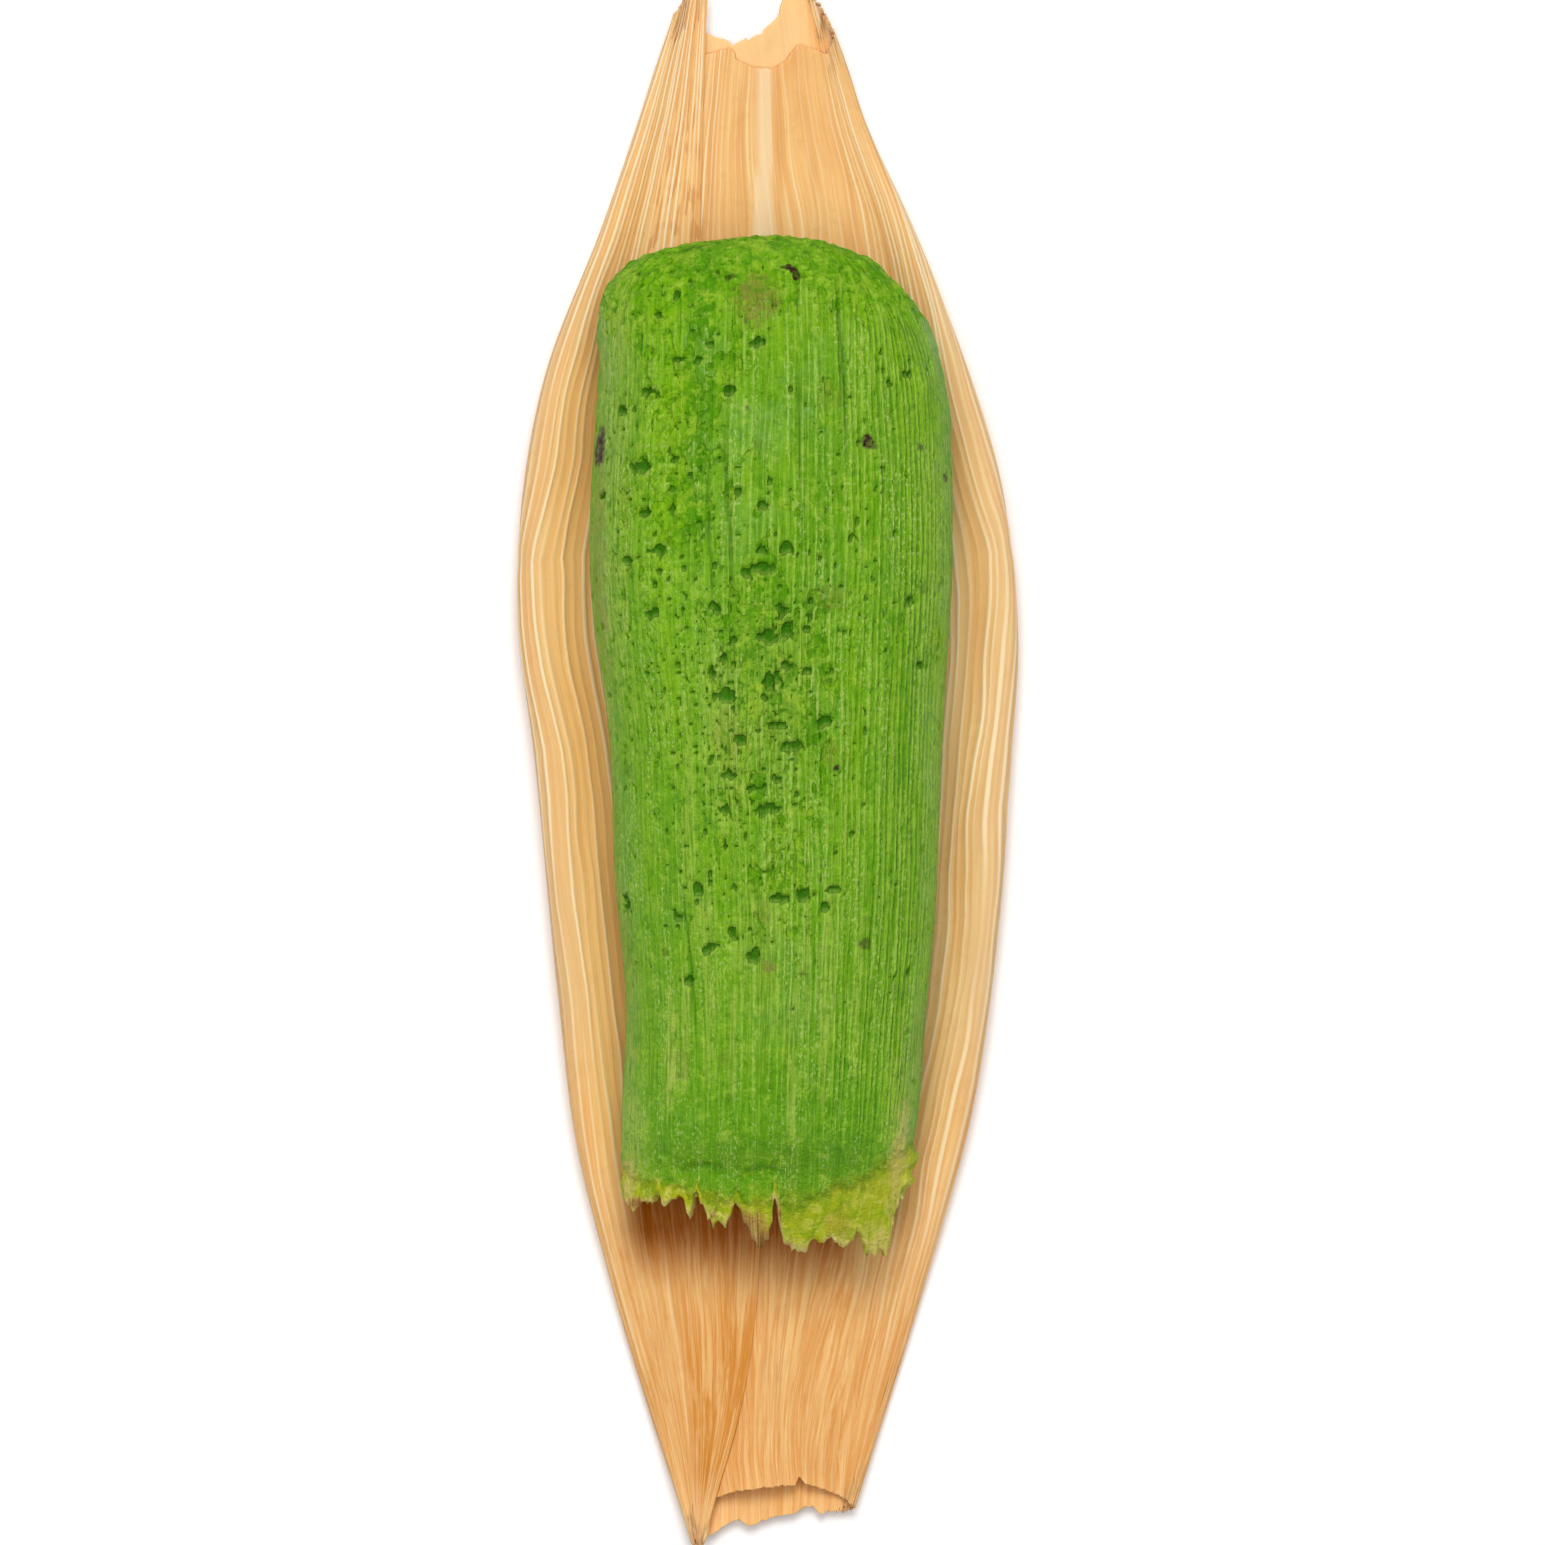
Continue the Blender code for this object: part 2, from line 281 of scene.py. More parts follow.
leaf = {
    "thickness": 0.42,
    "pitch": 0.85,  # from one layer up to the next
    "footPitch": 0.55,  # the same at the foot, where the flap lies close on the front sheet
    "headPitch": 0.55,  # and at the head, where the front sheet lies close on the back layer
    "backLevel": 0.25,  # middle of the layer that lies on the table
    "rollWidth": 10.5,  # from a fold inwards to the foot of its bank
    "bankHeight": 5.4,
    "bankLeftAtTips": 0.12,
    "bankFallsHead": (38, 84),  # where the banks come down, from the middle to the tips
    "bankFallsFoot": (30, 84),
    "hiddenEdge": 0.16,  # where the front sheet ends under the flap, as a share of the width
    "hiddenClearance": 1.2,  # and at least this many roll widths from the left fold
    "headLift": 3.0,  # how far the tips curl up off the table
    "footLift": 2.0,
    "liftStart": 62,
    "tip": 94.6,
    "headMouth": 0.45,  # how far the front sheet arches off the back layer at each end
    "footMouth": 3.2,
    "mouthStart": 64,
    "rows": 128,
    "hem": 0.06,  # from the last line of the grid to the sheet's edge, to keep the edge crisp
    "widestRow": 12,
    "seed": 8,
    # Lines along the leaf, as (y, x)
    "leftFold": (
        (-95, -9.0), (-63, -18.9), (-46, -23.1), (-28, -25.3), (3, -28.4),
        (17, -30.2), (30, -29.9), (47, -27.0), (66, -19.8), (84, -13.8), (95, -10.6),
    ),
    "rightFold": (
        (-95, 8.9), (-63, 18.9), (-43, 24.4), (-20, 27.8), (0, 29.3), (17, 30.2),
        (34, 28.2), (54, 22.0), (67, 16.8), (78, 11.8), (89, 8.3), (95, 6.4),
    ),
    "flapEdge": (
        (-95, -8.0), (-89, -6.3), (-80, -3.7), (-70, -1.9), (-58, -0.9),
        (0, -4.0), (64, -8.2), (95, -7.4),
    ),
    # Torn ends of the layers, as (share across, y): the front sheet runs left to right, the
    # back layer right to left
    "frontFoot": ((0, -89.5), (0.5, -88.0), (0.75, -86.9), (1, -90.0)),
    "frontHead": ((0, 87.0), (0.3, 86.8), (0.55, 84.8), (0.8, 87.6), (1, 86.4)),
    "backFoot": ((0, -90.6), (0.3, -90.8), (0.6, -92.3), (0.85, -93.2), (1, -94.8)),
    "backHead": ((0, 93.4), (0.28, 95.0), (0.45, 91.0), (0.7, 87.8), (1, 90.4)),
    "flapFoot": ((0, -94.9), (1, -95.0)),
    "flapHead": ((0, 94.2), (0.5, 95.0), (1, 94.0)),
    "frontLines": (0, 0.2, 0.4, 0.6, 0.8, 1),
    "backLines": (0, 0.25, 0.5, 0.75, 1),
    "flapLines": (0, 0.35, 0.7, 1),
    # A rolled fold from its upper foot to its lower one: (share of the roll in from the fold,
    # share of the gap between the layers, share of the bank's height)
    "rollLines": (
        (0.66, 1.00, 0.36), (0.38, 1.00, 0.86), (0.10, 1.00, 1.00),
        (-0.05, 0.62, 0.62), (0.10, 0.22, 0.22), (0.50, 0.01, 0.01),
    ),
    # The same torn ends close up, as (x, y)
    "frontFootEdge": (
        (-6.5, -89.4), (-4.6, -88.5), (-2.7, -88.2), (1.6, -87.7), (3.3, -87.6),
        (3.8, -86.7), (4.4, -87.5), (7.1, -88.3), (9.6, -89.4), (10.8, -90.1),
    ),
    "frontHeadEdge": (
        (-8.3, 86.5), (-7.3, 86.7), (-4.3, 87.5), (-3.9, 86.0), (-2.0, 85.1),
        (-0.5, 84.9), (0.8, 85.0), (2.3, 85.8), (2.9, 87.2), (3.9, 87.8), (5.6, 87.3), (7.0, 86.6),
    ),
    "backFootEdge": (
        (-8.8, -94.8), (-7.1, -94.0), (-6.3, -93.2), (-4.3, -92.2), (-2.1, -92.6),
        (1.2, -91.5), (3.8, -91.0), (4.6, -90.3), (6.6, -91.0), (10.5, -90.7),
    ),
    "backHeadEdge": (
        (-9.5, 90.2), (-5.0, 88.0), (-4.0, 87.8), (0.8, 90.0), (1.0, 91.0), (1.5, 91.6),
        (1.7, 93.2), (2.3, 94.2), (4.3, 94.6), (5.6, 93.2), (7.6, 91.2),
    ),
    # Veins of each stretch of the leaf: (mean spacing, mean width, least height as a share of
    # the tallest), at the widest row
    "frontVeins": (1.35, 0.48, 0.35),
    "rightVeins": (1.02, 0.55, 0.35),
    "backVeins": (2.9, 0.7, 0.3),
    "leftVeins": (1.08, 0.55, 0.35),
    "flapVeins": (1.35, 0.55, 0.35),
    "veinHeight": 0.17,
    "veinsFlatten": (90, 14, 0.15),  # at the tips: none beyond, full this far in, share left
    "leastRelief": 0.2,  # share of the veins' height left where the leaf is narrowest
    "layerWaves": (0.2, 0.08),  # height of the long and of the short waves of the whole leaf
    "creaseDepth": 0.3,
    # Middles of the inner bank sides beside the dough, where painted light lightens their shade, in
    # lines from the front sheet's hidden edge
    "paintedWallLightLine": 5.9,
    "paintedBankLightLine": 22.0,
    "rightBankLines": (6.7, 0.8, 11, 2),  # from, eased in over, to, eased out over
    "leftBankLines": (17, 2, 21.3, 0.8),
    # The pale rib down the front sheet's head end, as (y, x)
    "ribLeft": ((60, -2.1), (64.7, -1.95), (86.6, -1.4)),
    "ribRight": ((60, 1.1), (64.7, 0.95), (86.6, 0.4)),
    "ribEdge": 0.35,
    # Painted shadow that the torn end of the dough casts on the husk under it: from, eased in over, to,
    # eased out over
    "tearShadowAlong": (-65, 9, -47, 4),
    "tearShadowAcross": (-19, 4, 13, 6),
    # Stretches along the leaf, in the same way: of faded banks, of the painted light on the right
    # bank's inner wall and of cross cells
    "fadedAlong": (-46, 20, 72, 20),
    "paintedWallLightAlong": (-16, 24, 52, 10),
    "ladderAlong": (52, 8, 86, 8),
    "veinSway": (0.18, 0.1),  # slow and quick bends of the veins, in lines
    "tornReach": 9,  # how far in from a torn end its pull is felt
    "ragged": {"Head": 0.12, "Foot": 0.14},  # size of the fine teeth of the torn ends
    # Lengthwise creases of the front sheet's head end, painted as darker lines of shade: (x, y) at both
    # ends, half width, strength
    "panelCreases": (
        ((-3.5, 84.0), (-2.4, 62.0), 0.5, 0.55), ((-2.5, 68.6), (-2.5, 64.6), 0.3, 1.0),
        ((1.0, 84.0), (1.9, 62.0), 0.7, 0.6), ((4.6, 82.0), (6.4, 62.0), 0.5, 0.35),
        ((8.2, 80.0), (12.0, 60.0), 0.5, 0.4), ((-6.7, 84.0), (-7.2, 62.0), 0.8, 0.5),
    ),
    # Creases across the banks beside the widest part of the dough: (y, middle line of the
    # bank's upper side, how many lines the veins bend outwards there, reach towards the head,
    # reach towards the foot)
    "creases": (
        (26.8, 7.6, 0.5, 12, 22), (24.7, 20.8, -0.8, 12, 28),
        (2.0, 20.8, 0.25, 9, 12), (-6.0, 7.6, -0.25, 12, 14),
    ),
    # How many lines the veins of the right-hand side run outwards at the head and inwards at
    # the foot: (lines, from y, to y, middle line, reach)
    "drifts": ((2.3, 40, 86, 6.5, 4.5), (-1.0, -60, -87, 4.4, 3.0)),
}

# Control lines of the sheet, from the front sheet's hidden edge round both folds to the flap
leafLines = [("front", share) for share in leaf["frontLines"]]
leafLines += [("rightRoll", place) for place in leaf["rollLines"]]
leafLines += [("back", share) for share in leaf["backLines"]]
leafLines += [("leftRoll", place) for place in reversed(leaf["rollLines"])]
leafLines += [("flap", share) for share in leaf["flapLines"]]
rollEnds = {}  # number of the last line before and the first line after each roll
for roll in ("rightRoll", "leftRoll"):
    numbers = [n for n, line in enumerate(leafLines) if line[0] == roll]
    rollEnds[roll] = (numbers[0] - 1, numbers[-1] + 1)


def bankHeight(y):  # of the rolled folds: full beside the dough and nearly flat at the tips
    (headFrom, headTo), (footFrom, footTo) = leaf["bankFallsHead"], leaf["bankFallsFoot"]
    fall = np.where(y > 0, ease((y - headFrom) / (headTo - headFrom)),
                    ease((-y - footFrom) / (footTo - footFrom)))
    return leaf["bankHeight"] * (1 - (1 - leaf["bankLeftAtTips"]) * fall)


def leafLine(layer, place, y):
    # x and z along one control line. On a flat layer they go evenly across between the two
    # rolls, arched by the mouth; round a roll they follow its profile from crest to foot.
    left, right = curveThrough(leaf["leftFold"], y), curveThrough(leaf["rightFold"], y)
    edge = curveThrough(leaf["flapEdge"], y)
    roll = np.minimum(leaf["rollWidth"], np.minimum(0.22 * (right - left), 0.45 * (edge - left)))
    back = leaf["backLevel"]
    front = back + leaf["pitch"] + (leaf["headPitch"] - leaf["pitch"]) * ease((y - 66) / 16)
    flap = front + leaf["pitch"] + (leaf["footPitch"] - leaf["pitch"]) * ease((-20 - y) / 30)
    beyond = np.maximum(0, np.abs(y) - leaf["liftStart"]) / (leaf["tip"] - leaf["liftStart"])
    lift = np.where(y > 0, leaf["headLift"], leaf["footLift"]) * beyond**2
    opening = ease((np.abs(y) - leaf["mouthStart"]) / (leaf["tip"] - leaf["mouthStart"]))
    mouth = np.where(y > 0, leaf["headMouth"], leaf["footMouth"]) * opening
    frontEnd, flapStart = right - roll, left + roll
    if layer in ("front", "flap"):
        aside = np.maximum(leaf["hiddenEdge"] * (right - left), leaf["hiddenClearance"] * roll)
        stretch = {"front": (left + aside, frontEnd, front), "flap": (flapStart, edge, flap)}
        start, end, level = stretch[layer]
        x = start + place * (end - start)
        offCentre = (x - (left + right) / 2) / ((right - left) / 2 - roll)
        z = level + mouth * np.maximum(0, 1 - offCentre**2)
    elif layer == "back":
        x = frontEnd + place * (flapStart - frontEnd)
        z = back + 0 * y
    else:
        inwards, gapShare, bankShare = place
        fold, turn, upper = (right, -1, front) if layer == "rightRoll" else (left, 1, flap)
        x = fold + turn * inwards * roll
        z = back + gapShare * (upper - back) + bankShare * bankHeight(y)
    return x, z + lift


def lineEnds(end):
    # Where each control line ends along the leaf; the rolls run evenly between the layers.
    flat = {layer: [lineThrough(leaf[layer + end], share) for share in leaf[layer + "Lines"]]
            for layer in ("front", "back", "flap")}
    steps = len(leaf["rollLines"]) + 2
    right = np.linspace(flat["front"][-1], flat["back"][0], steps)[1:-1]
    left = np.linspace(flat["back"][-1], flat["flap"][0], steps)[1:-1]
    return np.concatenate([flat["front"], right, flat["back"], left, flat["flap"]])


def acrossLines(controls, t):
    # Cubic B-spline across the control lines at t, counted in lines. The outer lines are
    # repeated outwards, so that the sheet reaches its own edges.
    first = 2 * controls[:1] - controls[1:2]
    last = 2 * controls[-1:] - controls[-2:-1]
    points = np.concatenate([first, controls, last])
    i = np.clip(np.floor(t).astype(int), 0, len(controls) - 2)
    f = t - i
    row = np.arange(controls.shape[1])[:, None]
    weights = ((1 - f) ** 3, 3 * f**3 - 6 * f**2 + 4, 3 * f + 3 * f**2 - 3 * f**3 + 1, f**3)
    return sum(w * points[i + k, row] for k, w in enumerate(weights)) / 6


def veinColumns(lengthAt):
    # Places of the grid's columns, in lines, with each column's share of a vein's height and
    # its vein's number: four columns to a vein, at its two feet and on both sides of its crest.
    rng = np.random.default_rng(leaf["seed"])
    lines = np.arange(len(lengthAt)) / 100
    starts = (0, *rollEnds["rightRoll"], *rollEnds["leftRoll"], len(leafLines) - 1)
    zones = ("frontVeins", "rightVeins", "backVeins", "leftVeins", "flapVeins")
    places, shares, numbers = [0.0, leaf["hem"]], [0.0, 0.0], [0, 0]
    for zone, start, end in zip(zones, starts, starts[1:]):
        spacing, width, least = leaf[zone]
        at, stop = np.interp((start, end), lines, lengthAt)
        at += spacing * rng.uniform(0.3, 0.6)
        while at < stop - 0.4 * spacing:
            half = width / 2 * rng.uniform(0.5, 1.3)
            tall = rng.uniform(least, 1)
            places += [at - half, at - 0.34 * half, at + 0.34 * half, at + half]
            shares += [0, tall, tall, 0]
            numbers += [numbers[-1] + 1] * 4
            at += spacing * rng.uniform(0.68, 1.45)
    places += [lengthAt[-1] - leaf["hem"], lengthAt[-1]]
    t = np.interp(places, lengthAt, lines)
    return t, np.array(shares + [0.0, 0.0]), np.array(numbers + [0, 0]), np.array(places)


def endPull(x, y, t, end):
    # How far each column's end moves along to meet the torn edges: each layer's own edge
    # line, eased into the next one round the rolls, and ragged.
    row = {"Foot": 0, "Head": -1}[end]
    x, y, t = x[row], y[row], t[row]
    (rightFrom, rightTo), (leftFrom, leftTo) = rollEnds["rightRoll"], rollEnds["leftRoll"]
    toBack = ease((t - rightFrom) / (rightTo - rightFrom))
    toFlap = ease((t - leftFrom) / (leftTo - leftFrom))
    front = lineThrough(leaf["front" + end + "Edge"], x)
    back = lineThrough(leaf["back" + end + "Edge"], x) + 0.35 * ripple(t * 12, t * 0, 3)
    goal = front * (1 - toBack) + back * toBack * (1 - toFlap) + y * toFlap
    return goal - y + leaf["ragged"][end] * ripple(t * 18, t * 0, 5)


def foldLeaf():
    rows = leaf["rows"]
    even = np.linspace(0, 1, rows)
    share = 0.45 * even + 0.55 * (0.5 - 0.5 * np.cos(np.pi * even))  # closer rows at the tips
    hem = leaf["hem"] / (2 * leaf["tip"])
    share = np.concatenate([[0, hem], share[1:-1], [1 - hem, 1]])
    rows = len(share)
    foot, head = lineEnds("Foot"), lineEnds("Head")
    controlY = foot[:, None] + share * (head - foot)[:, None]
    controlX, controlZ = np.empty_like(controlY), np.empty_like(controlY)
    for n, (layer, place) in enumerate(leafLines):
        controlX[n], controlZ[n] = leafLine(layer, place, controlY[n])

    # distance across the widest row, a hundred steps to a line
    widest = np.argmin(np.abs(controlY[0] - leaf["widestRow"]))
    fine = np.arange(100 * (len(leafLines) - 1) + 1)[None, :] / 100
    rowX, rowZ = (acrossLines(c[:, widest:widest + 1], fine)[0] for c in (controlX, controlZ))
    lengthAt = np.concatenate([[0], np.cumsum(np.hypot(np.diff(rowX), np.diff(rowZ)))])

    t, crest, vein, fibre = veinColumns(lengthAt)
    fibre = np.broadcast_to(fibre, (rows, len(t)))
    vein = np.broadcast_to(vein, fibre.shape)
    rowY = np.broadcast_to(controlY.mean(axis=0)[:, None], fibre.shape)
    inside = hill(2 * t / t[-1] - 1) ** 0.2  # the free edges stay where they are
    slow, quick = leaf["veinSway"]
    sway = slow * ripples(fibre / 9, rowY / 15, 11) + quick * ripple(fibre / 2.6, rowY / 7, 12)
    creased = np.zeros_like(fibre)
    for creaseY, middle, bend, headwards, footwards in leaf["creases"]:
        upper = hill((t - middle) / 3)
        reach = np.where(rowY > creaseY, headwards, footwards)
        sway = sway + bend * upper * np.maximum(0, 1 - np.abs(rowY - creaseY) / reach) ** 1.2
        creased = creased + abs(bend) * upper * hill((rowY - creaseY) / 2.2)
    for drift, fromY, toY, middle, reach in leaf["drifts"]:
        sway = sway + drift * ease((rowY - fromY) / (toY - fromY)) * hill((t - middle) / reach)
    t = np.clip(t + sway * inside, 0, t[-1])
    x, y, z = (acrossLines(c, t) for c in (controlX, controlY, controlZ))

    # torn ends
    reaches = (head.mean() - foot.mean()) / leaf["tornReach"]
    nearHead = ease(1 - (1 - share) * reaches)[:, None] ** 1.5
    nearFoot = ease(1 - share * reaches)[:, None] ** 1.5
    y = y + nearHead * endPull(x, y, t, "Head") + nearFoot * endPull(x, y, t, "Foot")

    # the veins stand up, less where the leaf narrows and at its tips
    width = controlX[rollEnds["rightRoll"][1] - 1] - controlX[rollEnds["leftRoll"][0] + 2]
    narrow = np.clip(width / width.max(), leaf["leastRelief"], 1)[:, None]
    veinRun = 0.6 + 0.4 * ripple(vein * 7.31, rowY / 21, 13)
    flatFrom, flattening, left = leaf["veinsFlatten"]
    atTips = left + (1 - left) * ease((flatFrom - np.abs(rowY)) / flattening)
    raised = leaf["veinHeight"] * crest * veinRun * narrow * atTips
    # the layers wave up and down together
    long, short = leaf["layerWaves"]
    waved = long * ripples(x / 4.2, y / 26, 14) + short * ripple(x / 5, y / 5, 15)
    normals = surfaceNormals(x, y, z)
    lift = raised + waved * normals[..., 2] - leaf["creaseDepth"] * creased
    points = np.stack([x, y, z], axis=-1) + normals * lift[..., None]
    points[..., 2] = np.maximum(points[..., 2], leaf["thickness"] / 2 + 0.01)  # on the table
    return points, {"t": t, "fibre": fibre, "vein": crest * veinRun, "rowY": rowY}


def huskFinish():
    material, shader, start = startFinish("corn husk", {
        "Specular IOR Level": 0.1, "Subsurface Weight": 0.3, "Subsurface Radius": (1.0, 0.5, 0.2),
        "Subsurface Scale": 0.002})
    grain, place = start.places()
    vein, dull, pale, deep, quiet, bright = start.marks("vein dull pale deep quiet bright")
    faded, wall, ladderAt, inner, crease = start.marks("faded wall ladder inner crease")
    wide = grain.streaks(0.5, 0.025, 2.0, 0.5, 0.5)
    coarse = grain.streaks(1.3, 0.035, 3.0, 0.6, 0.5)
    fibres = grain.streaks(3.0, 0.05, 3.0, 0.6, 0.3)
    fine = grain.streaks(8.0, 0.16, 2.0, 0.6)
    wisps = grain.streaks(0.8, 0.05, 4.0, 0.75, 0.9)
    strands = grain.streaks(0.62, 0.04, 3.0, 0.6, 1.2)
    blotch = grain.streaks(0.12, 0.05)
    cells = grain.streaks(0.6, 0.22, 1.0, 0.4)
    mottle = place.noise(420, 4.0, 0.65, 0.3)
    thread = ((strands - 0.5) * (strands - 0.5)).band(0.0016, 0.0001)  # thin wavy lines
    run = wide * 0.4 + coarse * 0.35 + fibres * 0.25
    colour = run.ramp((
        (0.33, (228, 158, 90)), (0.45, (240, 175, 108)),
        (0.56, (248, 190, 124)), (0.70, (253, 208, 152)),
    )).layered((
        ((222, 154, 88), (1 - fine.band(0.3, 0.5)) * 0.25),
        ((253, 214, 164), fine.band(0.55, 0.75) * 0.3),
        ((228, 164, 98), mottle.band(0.5, 0.68) * 0.35),
        ((226, 158, 94), blotch.band(0.5, 0.7) * 0.35),
        ((208, 138, 74), ladderAt * cells.band(0.52, 0.58) * (1 - vein) * 0.7),
        ((250, 204, 140), wisps.band(0.5, 0.6) * quiet * 0.4),
        ((206, 138, 62), wisps.band(0.48, 0.38) * quiet * 0.45),
        ((255, 212, 150), thread * quiet * 0.35),
        # painted light: the left bank's inner wall beside the dough, lightened and warmed where the
        # dough shades it
        ((255, 186, 108), bright * 0.55),
        ((222, 188, 140), faded),
        # painted light: the right bank's inner wall, lightened where the dough shades it
        ((255, 204, 142), wall * 0.8),
        ((255, 222, 180), vein.band(0.08, 0.75) * (0.88 - quiet * 0.6 - bright * 0.3)),
        ((210, 134, 48), dull * (0.3 + 0.8 * wisps.band(0.62, 0.4))),
        # painted shadow of the dough's torn end, dark orange on the husk
        ((162, 84, 0), deep * (0.8 + 0.25 * wisps.band(0.6, 0.4))),
        ((252, 210, 166), pale * (0.65 + 0.3 * coarse)),
        ((252, 205, 148), inner * 0.7),
        # painted shade: darker orange lines along the front sheet's creases at the head
        ((204, 134, 66), crease * 0.75),
    ))
    relief = fibres * 0.5 + coarse * 0.4 + fine * 0.3 + mottle * 0.3
    inputs = {"Strength": 0.4, "Distance": 0.00025, "Height": relief}
    bump = start.node("ShaderNodeBump", {}, inputs, "Normal")
    rough = 0.62 - fine * 0.12
    connect(shader, {"Base Color": colour, "Roughness": rough, "Normal": bump})
    return material


def makeHusk():
    points, about = foldLeaf()
    rows, columns = points.shape[:2]
    faces = gridFaces(rows, columns)
    places = np.stack([about["fibre"], about["rowY"]], axis=-1).reshape(-1, 2)
    x, y = points[..., 0], points[..., 1]
    t = about["t"]
    (rightFrom, rightTo), (leftFrom, leftTo) = rollEnds["rightRoll"], rollEnds["leftRoll"]
    onFront = 1 - ease(t - rightFrom)
    onFlap = ease(t - leftTo + 0.5)
    onBack = ease((t - rightTo) * 2) * (1 - ease((t - leftFrom) * 2))
    ribLeft, ribRight = curveThrough(leaf["ribLeft"], y), curveThrough(leaf["ribRight"], y)
    rib = between(x, ribLeft, leaf["ribEdge"], ribRight, leaf["ribEdge"]) * onFront * ease((y - 58) / 4)
    lowerEnd = ease((-50 - y) / 25)
    rightBank, leftBank = between(t, *leaf["rightBankLines"]), between(t, *leaf["leftBankLines"])
    banks = (0.4 * rightBank + 0.3 * leftBank) * (1 + 0.4 * ease((20 - y) / 50))
    creaseShadeAt = np.zeros_like(x)
    for (headX, headY), (footX, footY), width, strength in leaf["panelCreases"]:
        along = (headY - y) / (headY - footY)
        away = (x - headX - (footX - headX) * along) / width
        creaseShadeAt = np.maximum(creaseShadeAt, strength * hill(away) * hill(2 * along - 1) ** 0.4 * onFront)
    marks = {
        "vein": about["vein"],
        "dull": (0.95 * onFlap + 0.5 * (1 - onFlap)) * lowerEnd * ease((y + 93) / 8),
        "pale": rib,
        "inner": onBack * ease((y - 82) / 2),
        # painted shade along the creases of the front sheet's head end
        "crease": creaseShadeAt,
        # painted shadow: where the dough's torn end shades the husk
        "deep": between(y, *leaf["tearShadowAlong"]) * between(x, *leaf["tearShadowAcross"]) * (1 - onBack),
        "quiet": np.maximum(np.maximum(onFront, onFlap), 0.7) * ease((-48 - y) / 14),
        # painted light on the left bank's inner wall beside the dough
        "bright": hill((t - leaf["paintedBankLightLine"]) / 2.6) * ease((56 - np.abs(y)) / 8),
        "faded": banks * between(y, *leaf["fadedAlong"]),
        # painted light on the right bank's inner wall beside the dough
        "wall": hill((t - leaf["paintedWallLightLine"]) / 1.3) * between(y, *leaf["paintedWallLightAlong"]),
        "ladder": onFlap * between(y, *leaf["ladderAlong"]),
    }
    husk = makePiece("huskLeaf", points.reshape(-1, 3), faces.tolist(), huskFinish(),
                     places[faces.ravel()], marks)
    shell = husk.modifiers.new("thickness", "SOLIDIFY")
    shell.thickness = leaf["thickness"] * mm
    shell.offset = 0
    print("husk:", rows, "by", columns, "points,", 4 * len(faces), "triangles")
    return husk


